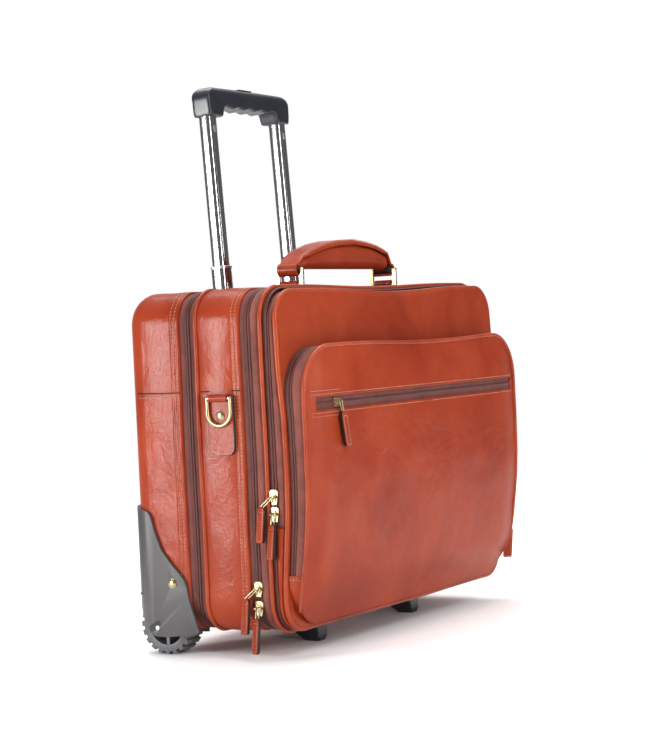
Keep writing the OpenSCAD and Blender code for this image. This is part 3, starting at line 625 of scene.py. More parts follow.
def back_panel():
    inset = REAR_EDGE_R
    half, z0, z1 = HALF_W - inset, CASE_Z0 + inset, CASE_Z1 - inset

    def depth(x, z):
        edge = np.minimum(half - np.abs(x), np.minimum(z - z0, z1 - z))
        return REAR_Y + 0.9 * ease(0, 40, edge)

    verts, faces = sheet_face(half, z0, z1, CASE_R - inset, CASE_R - inset, depth,
                              hole=lambda c: in_well(c))
    verts[:, 1] += grain_wrinkle(verts, 0.5, 42)
    mesh("back_leather", "rear_case", verts, faces, LEATHER, slot="leather")
    rim = outline(half - 9, z0 + 9, z1 - 9, 8, 8).finer(2.0)
    line = np.column_stack([rim.points[:, 0], np.full(len(rim.points), REAR_Y + 0.55), rim.points[:, 1]])
    keep = np.array([not in_well(p) for p in line])
    stitch_row("rear_case", line[keep], np.tile([0, 1, 0], (int(keep.sum()), 1)))


def side_seam(name, body, y0, y1):
    """The overlap across both sides where the upper leather meets the lower: a folded edge, coloured black
    as painted shade of the gap under the overlap.
    """
    verts, faces = [], []
    low, high = min(y0, y1), max(y0, y1)
    for side in (-1, 1):
        ys = np.linspace(low, high, 24)
        k = len(verts)
        for y in ys:
            for dx, dz in ((-0.5, -0.7), (0.55, -0.55), (0.75, 0.0), (0.45, 0.55), (-0.5, 0.7)):
                verts.append([side * (HALF_W + dx), y, SEAM_Z + dz])
        for i in range(len(ys) - 1):
            for j in range(5):
                l = (j + 1) % 5
                faces.append((k + i * 5 + j, k + (i + 1) * 5 + j, k + (i + 1) * 5 + l, k + i * 5 + l))
        faces += [tuple(k + j for j in range(5)), tuple(k + (len(ys) - 1) * 5 + j for j in range(5))]
        line = np.array([[side * (HALF_W + 0.3), y, SEAM_Z - 4] for y in ys])
        stitch_row(body, settle(line), np.tile([side, 0, 0], (len(ys), 1)))
    # the strip's black is painted shade of the seam's gap
    mesh(name, body, settle(verts), faces, EDGE_PAINT_AND_SHADE)


def middle_section():
    y0, y1 = MIDDLE_FRONT_Y, MIDDLE_REAR_Y
    outer = [(y0, -2.2), (y0 + 0.1, -0.9), (y0 + 0.5, -0.1), (y0 + 1.4, 0.2)]
    outer += groove(y0 + 4.0, 0.25) + groove(y0 + 8.2, 0.25)
    outer += [(y0 + 11, 0.5), (y0 + 17, 0.9), (y0 + 24, 1.1), (y0 + 32, 0.9), (y0 + 39, 0.45),
              (y1 - 2, 0.1), (y1, -0.4)]
    inner = [(y1, -3), (y0 + 0.6, -3)]
    lay_leather("middle_leather", "middle_case", CASE, outer + inner, ["middle_shell"])
    for y in (y0 + 4.0, y0 + 8.2):
        ring_stitches("middle_case", CASE, y, 0.12)
    side_seam("middle_seam", "middle_case", y0 + 1, y1 - 1)
    piping("piping_1", "middle_case", CASE, MIDDLE_REAR_Y, PIPE1_Y, ())


def piping(name, body, path, y0, y1, stands_for):
    """Leather rolled over a cord, swept as a round roll along the path."""
    middle, r = (y0 + y1) / 2, abs(y1 - y0) / 2 - 0.05
    cord = disc(middle, PIPING_OUT - r, r, 14)
    return swept(name, body, path.finer(3.0), cord, PIPING, "leather", stands_for)


# ---------- zips ----------

def tape(name, body, path, y0, y1, low, high, mat=None, slot="zip", stands_for=()):
    """A strip of woven tape from y0 to y1, slightly crowned."""
    a, b = min(y0, y1), max(y0, y1)
    w = b - a
    top = [(a, low), (a + 0.08 * w, low + 0.6 * (high - low)), (a + 0.3 * w, high), (a + 0.7 * w, high),
           (a + 0.92 * w, low + 0.6 * (high - low)), (b, low)]
    under = [(b, low - 1.2), (a, low - 1.2)]
    return swept(name, body, path, top + under, mat or TAPE, slot, stands_for)


COIL_TURN, COIL_HALF = 1.8, 1.3


def coil(name, body, path, line_y, side):
    """Half a nylon coil: a flattened cord with a rib for each turn."""
    fine = path.finer(COIL_TURN / 2)
    middle = line_y + side * (COIL_HALF + 0.12)
    oval = [(middle + COIL_HALF * math.cos(a), -1.75 + 0.95 * math.sin(a))
            for a in (math.tau * k / 10 for k in range(10))]
    return swept(name, body, fine, oval, COIL, "zip", (),
                 ripple=lambda i: 0.24 * np.where(i % 2 == 0, 1, -1), sharp=70)


def zip_half(tag, body, path, edge_y, line_y, stands_for):
    """Tape from the section's edge to the coil at the parting line."""
    side = 1 if edge_y > line_y else -1
    tape(f"{tag}_tape", body, path, edge_y + side * 0.5, line_y + side * 2.2, -2.4, -1.75,
         stands_for=stands_for)
    coil(f"{tag}_coil", body, path, line_y, side)


def zips():
    zip_half("zip1_rear", "rear_case", CASE, REAR_FRONT_Y, ZIP1_Y, ["zip1_rear"])
    zip_half("zip1_front", "middle_case", CASE, PIPE1_Y, ZIP1_Y, ["zip1_front"])
    zip_half("zip2_rear", "middle_case", CASE, MIDDLE_FRONT_Y, ZIP2_Y, ["zip2_rear"])
    zip_half("zip2_front", "front_case", CASE, ZIP2_Y - 3.2, ZIP2_Y, [])
    tape("strip_2", "front_case", CASE, ZIP2_Y - 3.4, PIPE2_Y + 1.0, -1.5, -0.35, STRIP,
         stands_for=["zip2_front"])
    zip_half("zip3_rear", "front_case", CASE, PIPE2_Y - PIPE_W, ZIP3_Y, ["zip3_rear"])
    upper = PANEL.cut(ZIP3_END, True)
    zip_half("zip3_front", "front_panel", upper, ZIP3_Y - 3.0, ZIP3_Y, [])
    tape("strip_3", "front_panel", upper, ZIP3_Y - 3.2, PIPE3_Y + 0.8, -1.5, -0.35, STRIP,
         stands_for=["zip3_front"])
    over = POCKET.cut(ZIP4_END, True)
    zip_half("zip4_rear", "front_panel", over, PANEL_Y - 0.6, ZIP4_Y, ["zip4_rear"])
    zip_half("zip4_front", "pocket", over, ZIP4_Y - 2.6, ZIP4_Y, [])
    tape("strip_4", "pocket", over, ZIP4_Y - 2.8, POCKET_Y + 3.6, -1.5, -0.35, STRIP,
         stands_for=["zip4_front"])


# ---------- front sections ----------

def rounded_slab(name, body, half, z0, z1, r, rear_y, front_y, stands_for, bulge=0.0, skew=settle):
    """A flat leather-covered board with its face crowned by bulge."""

    def face(at, crown):
        def depth(x, z):
            edge = np.minimum(half - np.abs(x), np.minimum(z - z0, z1 - z))
            return at - crown * ease(0, 45, edge)
        return depth

    front, quads = sheet_face(half, z0, z1, r, r, face(front_y, bulge), step=6.0)
    rear, _ = sheet_face(half, z0, z1, r, r, face(rear_y, 0.0), step=6.0)
    k = len(front)
    faces = list(quads) + [tuple(k + i for i in reversed(f)) for f in quads]
    edges = {}
    for f in quads:
        for a, b in zip(f, f[1:] + f[:1]):
            edges[(a, b)] = edges.get((a, b), 0) + 1
    faces += [(a, b, k + b, k + a) for a, b in edges if (b, a) not in edges]
    front[:, 1] += grain_wrinkle(front, 0.5, 40)
    ids = [0] * len(quads) + [1] * len(quads) + [0] * (len(faces) - 2 * len(quads))
    return mesh(name, body, skew(np.vstack([front, rear])), faces, [LEATHER, LINING], ids,
                slot="leather", stands_for=stands_for)


def front_sections():
    rounded_slab("divider_board", "front_case", HALF_W - 2.5, CASE_Z0 + 2.5, CASE_Z1 - 2.5, CASE_R - 2.5,
                 PIPE2_Y - 1, PIPE2_Y - PIPE_W + 1, ["divider_panel"])
    piping("piping_2", "front_case", CASE, PIPE2_Y - PIPE_W, PIPE2_Y, ())
    rounded_slab("panel_leather", "front_panel", HALF_W - 1.5, PANEL_Z0 + 1.5, PANEL_Z1 - 1.5,
                 PANEL_R - 1.5, PIPE3_Y - 2, PANEL_Y + 0.3, ["front_panel"])
    piping("piping_3", "front_panel", PANEL, PANEL_Y + 0.4, PIPE3_Y, ())
    lower = PANEL.cut(ZIP3_END - 0.4, False)
    roll = [(ZIP3_Y - 0.3, -2.4), (ZIP3_Y - 0.6, 0.0), (ZIP3_Y - 2.6, 1.3), (ZIP3_Y - 5.4, 1.9),
            (ZIP3_Y - 8.2, 1.5), (ZIP3_Y - 10.2, 0.2), (ZIP3_Y - 10.8, -2.4)]
    swept("panel_gusset", "front_panel", lower, roll, LEATHER, "leather", ["front_gusset"])


def pocket_width(z):
    return width_at(z, HALF_W, POCKET_Z0, POCKET_Z1, POCKET_R, POCKET_R)


def pocket_depth(x, z):
    """Depth of the pocket's face: level with its rim at the edge, crowned between."""
    rim = pocket_rim(z) - 0.6
    w = np.array([pocket_width(v) for v in np.atleast_1d(z)])
    edge = np.minimum(w - np.abs(x), POCKET_Z1 - z)
    return rim - 3.4 * ease(-2, 34, edge) * ease(POCKET_Z0 - 2, POCKET_Z0 + 40, z)


def pocket():
    lo, hi = FLAT_LO, FLAT_HI

    def window(c):
        return lo[0] < c[0] < hi[0] and lo[2] < c[2] < hi[2]

    verts, faces = sheet_face(HALF_W, POCKET_Z0, POCKET_Z1, POCKET_R, POCKET_R, pocket_depth, step=5.0,
                              rows=(lo[2], hi[2]), columns=(lo[0], hi[0]), hole=window)
    verts[:, 1] += grain_wrinkle(verts, 0.55, 36)
    face = mesh("pocket_leather", "pocket", verts, faces, [LEATHER, LINING], slot="leather",
                stands_for=["pocket_shell"])
    thick = thicken(face, 2.2)
    thick.offset = -1.0
    thick.material_offset = 1
    thick.material_offset_rim = 0
    upper = POCKET.cut(46, True)
    swept("piping_4", "pocket", upper, disc(POCKET_Y + 1.6, PIPING_OUT - 2.0, 2.0, 14), PIPING, "leather")
    pocket_gusset()
    flat_zip(lo, hi)


GUSSET_FOOT = 40


def pocket_gusset():
    """Leather below each end of the pocket's zip, tapering to a point."""
    verts, faces = [], []
    heights = np.linspace(GUSSET_FOOT, ZIP4_END - 0.3, 12)
    for side in (-1, 1):
        k = len(verts)
        for z in heights:
            share = (z - GUSSET_FOOT) / (ZIP4_END - GUSSET_FOOT)
            w = pocket_width(z)
            rear, rim = PANEL_Y + lean(z), pocket_rim(z)
            for t in (0.0, 0.3, 0.7, 1.0):
                swell = 0.7 * math.sin(math.pi * t) - 0.7 * (1 - share)
                verts.append([side * (w - 0.4 + swell), rear + t * (rim - rear), z])
        for i in range(len(heights) - 1):
            for j in range(3):
                a = k + i * 4 + j
                faces.append((a, a + 1, a + 5, a + 4))
        top = np.array([verts[k + (len(heights) - 2) * 4 + j] for j in range(4)])
        stitch_row("pocket", top + [side * 0.3, 0, 0], np.tile([side, 0, 0], (4, 1)))
    mesh("pocket_gusset", "pocket", verts, faces, LEATHER, slot="leather")


def flat_zip(lo, hi):
    """The zip across the pocket's face: tape and coil behind the window, stitches round it."""
    xs = np.linspace(lo[0] - 2, hi[0] + 2, 90)
    verts, faces = [], []
    rows = [(lo[2] - 2, 1.6), (lo[2] + 2, 1.7), (FLAT_Z - 1.9, 1.3), (FLAT_Z - 1.0, 0.4), (FLAT_Z, 0.1),
            (FLAT_Z + 1.0, 0.4), (FLAT_Z + 1.9, 1.3), (hi[2] - 2, 1.7), (hi[2] + 2, 1.6)]
    ids = []
    for x in xs:
        for z, back in rows:
            verts.append([x, float(pocket_depth(np.array([x]), np.array([z]))[0]) + back + 0.5, z])
    m = len(rows)
    for i in range(len(xs) - 1):
        for j in range(m - 1):
            faces.append((i * m + j, (i + 1) * m + j, (i + 1) * m + j + 1, i * m + j + 1))
            ids.append(1 if 2 <= j <= 5 else 0)
    mesh("flat_zip_tape", "pocket", verts, faces, [TAPE, COIL], ids, slot="zip", stands_for=["flat_zip"])
    for z in (lo[2] - 2.4, hi[2] + 2.4, lo[2] - 5.6, hi[2] + 5.6):
        near = abs(z - FLAT_Z) < 10
        end = hi[0] + 3 if near else lo[0] + 40
        row = np.linspace(lo[0] - 8, end, 80)
        line = [[x, float(pocket_depth(np.array([x]), np.array([z]))[0]) - 0.1, z] for x in row]
        stitch_row("pocket", line, np.tile([0, -1, 0], (len(row), 1)))


# ---------- hard parts ----------

def refined(name, node_name, body, mat, slot, bevel=0.5, angle=32, segments=2):
    """A CAD part's own mesh with its duplicate points joined and its edges softened."""
    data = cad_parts[node_name].data.copy()
    data.name = name
    work = bmesh.new()
    work.from_mesh(data)
    bmesh.ops.remove_doubles(work, verts=work.verts, dist=2e-6)
    bmesh.ops.dissolve_limit(work, angle_limit=math.radians(1), verts=work.verts, edges=work.edges)
    sharp = [e for e in work.edges if len(e.link_faces) == 2 and e.calc_face_angle(0) > math.radians(angle)]
    bmesh.ops.bevel(work, geom=sharp, offset=bevel * MM, segments=segments, affect="EDGES",
                    profile=0.6, clamp_overlap=True)
    work.to_mesh(data)
    work.free()
    data.materials.clear()
    data.materials.append(mat)
    if data.has_custom_normals:
        data.attributes.remove(data.attributes["custom_normal"])
    return adopt(name, body, data, slot, [node_name], sharp=30)


def moulded(name, node_names, body, mat, slot, voxel=1.1, rounds=10):
    """CAD parts remeshed as one and relaxed, for mouldings whose edges are all well rounded."""
    work = bmesh.new()
    for node_name in node_names:
        work.from_mesh(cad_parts[node_name].data)
    bmesh.ops.remove_doubles(work, verts=work.verts, dist=2e-6)
    data = bpy.data.meshes.new(name + "_source")
    work.to_mesh(data)
    work.free()
    source = bpy.data.objects.new(name + "_source", data)
    bpy.context.scene.collection.objects.link(source)
    remesh = source.modifiers.new("remesh", "REMESH")
    remesh.mode, remesh.voxel_size = "VOXEL", voxel * MM
    relax = source.modifiers.new("relax", "SMOOTH")
    relax.iterations, relax.factor = rounds, 0.6
    bpy.context.view_layer.update()
    made = bpy.data.meshes.new_from_object(source.evaluated_get(bpy.context.evaluated_depsgraph_get()))
    bpy.data.objects.remove(source)
    made.name = name
    made.materials.clear()
    made.materials.append(mat)
    return adopt(name, body, made, slot, node_names, sharp=60)


def lathe(name, body, at, axis, profile, mat, slot, stands_for=(), count=28):
    """A turned piece: profile is (along, radius) pairs from a point along an axis."""
    axis = Vector(axis).normalized()
    turn = axis.to_track_quat("Z", "Y").to_matrix()
    verts = []
    for along, r in profile:
        for k in range(count):
            a = math.tau * k / count
            verts.append(list(Vector(at) + turn @ Vector((r * math.cos(a), r * math.sin(a), along))))
    return mesh(name, body, verts, ring_faces(len(profile), count), mat, slot=slot, stands_for=stands_for,
                sharp=45)


def dome(h, r):
    turns = [math.radians(a) for a in (18, 32, 46, 60, 74, 86)]
    return [(0, r), (0.25 * h, r)] + [(h * math.sin(a), r * 0.96 * math.cos(a)) for a in turns]


def hard_parts():
    for side in ("left", "right"):
        refined(f"{side}_guard", f"guard_{side}", "rear_case", GUARD, "guard_plastic", 0.7)
        refined(f"{side}_hub", f"wheel_{side}", f"wheel_{side}", WHEEL, "wheel_plastic", 0.35)
        refined(f"{side}_tread", f"tyre_{side}", f"wheel_{side}", TYRE, "tyre", 0.35)
    moulded("bezel", ["trolley_bezel"], "rear_case", BLACK, "black_plastic", 0.7, 5)
    moulded("grip", ["grip_shell", "grip_underside"], "trolley_grip", BLACK, "black_plastic", 1.2, 14)
    refined("button", "release_button", "release_button", BLACK, "black_plastic", 0.8)
    moulded("moulded_feet", ["feet"], "middle_case", FOOT, "foot_plastic", 1.0, 6)
    kept = {"trolley_housing": SATIN_TUBE, "axles": STEEL, "base_tray": BLACK, "rear_board": BOARD,
            "side_ring_left": BRASS, "side_ring_right": BRASS}
    for name, mat in kept.items():
        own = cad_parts[name].data.materials
        own.clear()
        own.append(mat)
    for nodes, body, height, sunk in (("guard_rivets", "rear_case", 1.9, 1.6),
                                      ("tab_rivets", "middle_case", 1.7, 1.5)):
        lo, hi = box_mm(nodes)
        y, z = (lo[1] + hi[1]) / 2, (lo[2] + hi[2]) / 2
        r = (hi[1] - lo[1]) / 2
        for side, word in SIDES:
            lathe(f"{nodes}_{word}", body, (side * (hi[0] - sunk), y, z), (side, 0, 0), dome(height, r),
                  BRASS, "brass", [nodes] if side < 0 else [])


# ---------- leather fittings ----------

def slab_piece(name, body, rings, mat, slot, stands_for=(), painted_rim=False):
    """Leather cut to an outline, from rings of points stacked through its thickness."""
    n, count = len(rings[0]), len(rings)
    painted = range(1, count - (1 if painted_rim else 2))
    ids = [int(k in painted) for k in range(count - 1) for _ in range(n)] + [0, 0]
    return mesh(name, body, np.vstack(rings), ring_faces(count, n), [mat, EDGE_PAINT_AND_SHADE], ids, slot=slot,
                stands_for=stands_for)


def tab_outline(width, z0, z1, r, count=6):
    half = width / 2
    points = [(half, z1), (-half, z1)]
    points += [(-half + r + r * math.cos(math.radians(a)), z0 + r + r * math.sin(math.radians(a)))
               for a in np.linspace(180, 270, count)]
    points += [(half - r + r * math.cos(math.radians(a)), z0 + r + r * math.sin(math.radians(a)))
               for a in np.linspace(270, 360, count)]
    return np.array(points)


def shrink(points, amount):
    centre = points.mean(0)
    away = points - centre
    size = np.abs(away).max(0)
    return centre + away * (1 - amount / size)


TAB_WIDTH, TAB_FOOT, TAB_R, TAB_THICK = 28, 188, 7, 3.1


def side_tabs():
    lo, hi = box_mm("side_tabs")
    tab_y = (lo[1] + hi[1]) / 2
    ring_z = box_mm("side_ring_left")[1][2] - 1.7
    bar_x = HALF_W + 5.3
    for side, word in SIDES:
        shape = tab_outline(TAB_WIDTH, TAB_FOOT, ring_z + 3, TAB_R)
        rings = []
        for lift, inset in ((-0.2, 0.0), (0.4, 0.0), (2.4, 0.0), (TAB_THICK, 0.7)):
            s = shrink(shape, inset) if inset else shape
            level = np.full(len(s), side * (HALF_W + lift))
            rings.append(np.column_stack([level, tab_y + s[:, 0], s[:, 1]]))
        slab_piece(f"ring_tab_{word}", "middle_case", rings, LEATHER, "leather",
                   ["side_tabs"] if side < 0 else [], painted_rim=True)
        edge = shrink(tab_outline(TAB_WIDTH, TAB_FOOT, ring_z - 6, TAB_R), 2.4)[1:]
        face_x = np.full(len(edge), side * (HALF_W + TAB_THICK + 0.1))
        line = np.column_stack([face_x, tab_y + edge[:, 0], edge[:, 1]])
        stitch_row("middle_case", line, np.tile([side, 0, 0], (len(line), 1)), pitch=2.9, length=2.0)
        loop_over(f"ring_loop_{word}", "middle_case", (side * bar_x, tab_y, ring_z), side, 19, 3.5)


LOOP_HOLE = 1.85


def loop_over(name, body, at, side, width, r):
    """The leather that wraps a ring's bar, as a thick strap."""
    x, y, z = at
    arc = [math.radians(a) for a in range(-70, 231, 20)]
    outer = [(x + side * r * math.sin(a), z + r * math.cos(a)) for a in arc]
    inner = [(x + side * LOOP_HOLE * math.sin(a), z + LOOP_HOLE * math.cos(a)) for a in reversed(arc)]
    ring = np.array(outer + inner)
    rim = 0.5 - 0.3 / width
    faces = ring_faces(4, len(ring), capped=False) + cut_ends(4, len(ring))
    verts = extruded(ring, y, width, (-0.5, -rim, rim, 0.5))
    return mesh(name, body, verts, faces, LEATHER, slot="leather")


def handle_bases():
    lo, hi = box_mm("handle_tabs")
    y, half_y = (lo[1] + hi[1]) / 2, (hi[1] - lo[1]) / 2
    base_z = CASE_Z1 + 0.2
    for side, word in SIDES:
        x = side * (hi[0] - 15)
        r = 4.0
        shape = tab_outline(30, -half_y, half_y, r)
        shape = np.vstack([shape[2:], shape[:2]])
        rings = [np.column_stack([x + shape[:, 0], y + shape[:, 1], np.full(len(shape), z)])
                 for z in (base_z - 0.6, base_z, base_z + 1.2, base_z + 1.7)]
        slab_piece(f"handle_base_{word}", "middle_case", rings, LEATHER, "leather",
                   ["handle_tabs"] if side < 0 else [])
        arch(f"handle_loop_{word}", "middle_case", x, y, base_z + 3.4, 18, 3.6, 1.75)


def arch(name, body, x, y, z, width, r, hole):
    """A leather loop round a bar that runs along Y."""
    arcs = [math.radians(a) for a in range(-20, 201, 15)]
    outer = [(x + r * math.cos(a), z + r * math.sin(a)) for a in arcs]
    inner = [(x + hole * math.cos(a), z + hole * math.sin(a)) for a in reversed(arcs)]
    ring = np.array(outer + inner)
    faces = ring_faces(2, len(ring), capped=False) + cut_ends(2, len(ring))
    return mesh(name, body, extruded(ring, y, width, (-0.5, 0.5)), faces, LEATHER, slot="leather")


# ---------- padded pieces ----------

def inflate(data, voxel, pressure, cap, name):
    """A pad blown up from its cut by cloth simulation, each point kept within cap of where it began."""
    work = bpy.data.objects.new(name + "_pad", data)
    bpy.context.scene.collection.objects.link(work)
    remesh = work.modifiers.new("remesh", "REMESH")
    remesh.mode, remesh.voxel_size = "VOXEL", voxel * MM
    bpy.context.view_layer.update()
    start = bpy.data.meshes.new_from_object(work.evaluated_get(bpy.context.evaluated_depsgraph_get()))
    work.modifiers.clear()
    work.data = start
    before = np.array([v.co for v in start.vertices])
    cloth_of = work.modifiers.new("cloth", "CLOTH")
    settings = cloth_of.settings
    settings.use_pressure = True
    settings.uniform_pressure_force = pressure
    settings.tension_stiffness = settings.compression_stiffness = 25
    settings.effector_weights.gravity = 0
    scene = bpy.context.scene
    for f in range(1, 21):
        scene.frame_set(f)
    done = bpy.data.meshes.new_from_object(work.evaluated_get(bpy.context.evaluated_depsgraph_get()))
    after = np.array([v.co for v in done.vertices])
    moved = after - before
    far = np.linalg.norm(moved, axis=1)
    moved *= np.minimum(1, cap * MM / np.maximum(far, 1e-9))[:, None]
    start.vertices.foreach_set("co", (before + moved).ravel())
    scene.frame_set(1)
    bpy.data.objects.remove(work)
    start.materials.clear()
    return start


HANDLE_TOP = [(-98, 361), (-86, 368), (-72, 374), (-45, 380.5), (-19, 384), (14, 385.5), (40, 383.5),
              (59, 380.5), (78, 375.5), (92, 370), (98, 362)]


def carry_handle():
    lo, hi = box_mm("carry_handle")
    y = (lo[1] + hi[1]) / 2
    stations = np.linspace(-88, 88, 36)
    verts, count = [], 20
    for x in stations:
        top = through(x, HANDLE_TOP)
        low = 357.0 - 2.6 * float(ease(70, 96, abs(x)))
        half_y = through(abs(x), [(0, 11.6), (60, 11.6), (80, 10.6), (97, 9.6)])
        half_z, mid = (top - low) / 2 - 0.8, (top + low) / 2
        for k in range(count):
            a = math.tau * k / count
            verts.append([x, y + half_y * crisp(math.cos(a), 0.62),
                          mid + half_z * crisp(math.sin(a), 0.72)])
    data = bpy.data.meshes.new("handle_cut")
    data.from_pydata([tuple(v) for v in np.array(verts) * MM], [], ring_faces(len(stations), count))
    data = inflate(data, 3.6, 4.0, 2.0, "handle")
    data.materials.append(LEATHER)
    made = adopt("handle_pad", "carry_handle", data, "leather", ["carry_handle"], sharp=80, subdivide=1)


def handle_strap():
    """The strap over the pad, its edges turned down, wrapped round the ring's bar at each end."""
    thick = 2.2
    y0 = (HANDLE_BOX[0][1] + HANDLE_BOX[1][1]) / 2
    end = [(RING_X + ROLL_R * math.sin(math.radians(t)), RING_TOP + ROLL_R * math.cos(math.radians(t)))
           for t in range(0, 201, 20)]
    top = [(x, float(through(x, HANDLE_TOP)) + 1.4) for x in np.linspace(-84, 84, 60)]
    line = [(-x, z) for x, z in reversed(end)] + top + end
    line = np.array(line)
    ahead = np.gradient(line, axis=0)
    ahead /= np.linalg.norm(ahead, axis=1)[:, None]
    up = np.column_stack([-ahead[:, 1], ahead[:, 0]])
    verts, faces = [], []
    for (x, z), (ux, uz) in zip(line, up):
        half_w = 13.2 - 2.6 * float(ease(74, 90, abs(x)))
        arch_h = 1 - float(ease(70, 88, abs(x)))
        across = [(-half_w, -2.8), (-half_w + 1.2, -0.9), (-half_w + 4, 0), (0, 0.5), (half_w - 4, 0),
                  (half_w - 1.2, -0.9), (half_w, -2.8)]
        across = [(y, d * arch_h) for y, d in across]
        verts += [[x + ux * d, y0 + y, z + uz * d] for y, d in across]
        verts += [[x + ux * (d - thick), y0 + 0.97 * y, z + uz * (d - thick)] for y, d in reversed(across)]
    m = 2 * len(across)
    for i in range(len(line) - 1):
        faces += [(i * m + j, (i + 1) * m + j, (i + 1) * m + (j + 1) % m, i * m + (j + 1) % m)
                  for j in range(m)]
    faces += [tuple(range(m)), tuple((len(line) - 1) * m + j for j in reversed(range(m)))]
    mesh("handle_strap", "carry_handle", verts, faces, LEATHER, slot="leather", sharp=50)
    for side, word in SIDES:
        row = [[x, y0 + side * (10.7 - 2.6 * float(ease(74, 90, abs(x)))), z + 0.1] for x, z in top]
        stitch_row("carry_handle", row, np.tile([0, side * 0.3, 1.0], (len(row), 1)), pitch=3.0)
        core = [(0, 1.9), (0.5, ROLL_R - 2.6), (1.2, ROLL_R - 2.1), (19.8, ROLL_R - 2.1),
                (20.5, ROLL_R - 2.6), (21, 1.9)]
        lathe(f"handle_roll_{word}", "carry_handle",
              (side * RING_X, y0 - 10.5, RING_TOP), (0, 1, 0), core, EDGE_PAINT_AND_SHADE, "leather")


ROLL_R = 6.4
HANDLE_BOX = box_mm("carry_handle")
RING_BOX = box_mm("handle_ring_right")
RING_X = (RING_BOX[0][0] + RING_BOX[1][0]) / 2
RING_WIRE = (RING_BOX[1][0] - RING_BOX[0][0]) / 2
RING_LOW, RING_TOP = RING_BOX[0][2] + RING_WIRE, RING_BOX[1][2] - RING_WIRE


def handle_rings():
    """Rings of flat brass: two posts joined by the bars that the leather holds."""
    post_y = (RING_BOX[1][1] - RING_BOX[0][1]) / 2 - 1.0
    y0 = (RING_BOX[0][1] + RING_BOX[1][1]) / 2
    for side, word in SIDES:
        parts = []
        for s in (-1, 1):
            low, high = RING_LOW - 1.8, RING_TOP + 1.8
            shape = [(-1.9 * s, low), (2.3 * s, low), (2.3 * s, high), (-1.9 * s, high)]
            plate, quads = prism(shape, -1.5, 1.5, 0.4)
            parts.append(([[side * RING_X + p[0], y0 + s * post_y + p[1], p[2]] for p in plate], quads))
        for z in (RING_LOW, RING_TOP):
            ends = [(side * RING_X, y0 - post_y, z), (side * RING_X, y0 + post_y, z)]
            parts.append(wire(ends, RING_WIRE, 12))
        mesh(f"flat_ring_{word}", f"handle_ring_{word}", *join(*parts), BRASS, slot="brass",
             stands_for=[f"handle_ring_{word}"], sharp=35)


def sleeve():
    lo, hi = box_mm("laptop_sleeve")
    thick = 3.2
    verts, faces = [], []
    parts = [(lo, (hi[0], lo[1] + thick, hi[2] - 38)),
             ((lo[0], hi[1] - thick, lo[2]), hi),
             (lo, (lo[0] + thick, hi[1], hi[2] - 4)),
             ((hi[0] - thick, lo[1], lo[2]), (hi[0], hi[1], hi[2] - 4)),
             (lo, (hi[0], hi[1], lo[2] + thick))]
    for a, b in parts:
        k = len(verts)
        verts += [[x, y, z] for x in (a[0], b[0]) for y in (a[1], b[1]) for z in (a[2], b[2])]
        faces += [tuple(k + i for i in f) for f in
                  ((0, 1, 3, 2), (4, 6, 7, 5), (0, 4, 5, 1), (2, 3, 7, 6), (0, 2, 6, 4), (1, 5, 7, 3))]
    data = bpy.data.meshes.new("sleeve_cut")
    data.from_pydata([tuple(v) for v in np.array(verts) * MM], [], faces)
    face_outward(data)
    data = inflate(data, 2.4, 2.0, 0.8, "sleeve")
    data.materials.append(LINING)
    made = adopt("sleeve_pad", "rear_case", data, "lining", ["laptop_sleeve"], sharp=80)


# ---------- linings, organiser and bellows ----------

def linings():
    swept("middle_lining_cloth", "middle_case", CASE,
          [(MIDDLE_FRONT_Y + 1, -3.1), (ZIP1_Y - 3, -3.1), (ZIP1_Y - 3, -3.9),
           (MIDDLE_FRONT_Y + 1, -3.9)], LINING, "lining", ["middle_lining"])
    lo, hi = box_mm("rear_lining")
    verts, faces = sheet_face(HALF_W - 4, CASE_Z0 + 4, CASE_Z1 - 4, CASE_R - 4, CASE_R - 4,
                              lambda x, z: hi[1] - 0.6 + 0 * x,
                              rows=(WELL_Z + 1,), columns=(-WELL_X, WELL_X),
                              hole=lambda c: abs(c[0]) > WELL_X and c[2] < WELL_Z + 1)
    verts[:, 1] += grain_wrinkle(verts, 0.4, 50)
    back = mesh("rear_lining_back", "rear_case", verts, faces, LINING, slot="lining",
                stands_for=["rear_lining"])
    thicken(back, 0.8)
    around, faces = sweep(CASE.finer(4.0), [(lo[1] + 1, -3.2), (hi[1] - 0.5, -3.2), (hi[1] - 0.5, -4.0),
                                            (lo[1] + 1, -4.0)])
    centres = [around[list(f)].mean(0) for f in faces]
    faces = [f for f, c in zip(faces, centres)
             if not (abs(c[0]) > WELL_X - 2 and c[2] < WELL_Z + 2 and c[1] > WELL_Y - 4)]
    mesh("rear_lining_wall", "rear_case", around, faces, LINING, slot="lining")


def organiser():
    lo, hi = box_mm("organiser")
    back, front = hi[1], lo[1]
    xs, zs = np.linspace(-185, 185, 60), np.linspace(34, 165, 24)
    verts = []
    for z in zs:
        for x in xs:
            edge = min(185 - abs(x), z - 34)
            verts.append([x, back - (back - front - 0.6) * float(ease(0, 8, edge)), z])
    slot_piece = mesh("document_slot", "front_case", verts, grid_faces(len(zs), len(xs)), LINING,
                      slot="lining", stands_for=["organiser"])
    thicken(slot_piece, 0.7)
    line = [[x, front + 0.4, 161] for x in xs]
    stitch_row("front_case", line, np.tile([0, -1, 0], (len(xs), 1)))
    for k, x in enumerate((-150, -130, -110)):
        arc = [math.radians(a) for a in range(0, 181, 15)]
        outer = [(x + 7 * math.cos(a), back - (back - front - 0.2) * math.sin(a)) for a in arc]
        inner = [(x + 6.1 * math.cos(a), back - (back - front - 1.0) * math.sin(a)) for a in arc[::-1]]
        ring = np.array(outer + inner)
        n = len(ring)
        verts = np.vstack([np.column_stack([ring, np.full(n, z)]) for z in (190, 235)])
        faces = ring_faces(2, n, capped=False) + cut_ends(2, n)
        mesh(f"pen_loop_{k + 1}", "front_case", verts, faces, LINING, slot="lining")


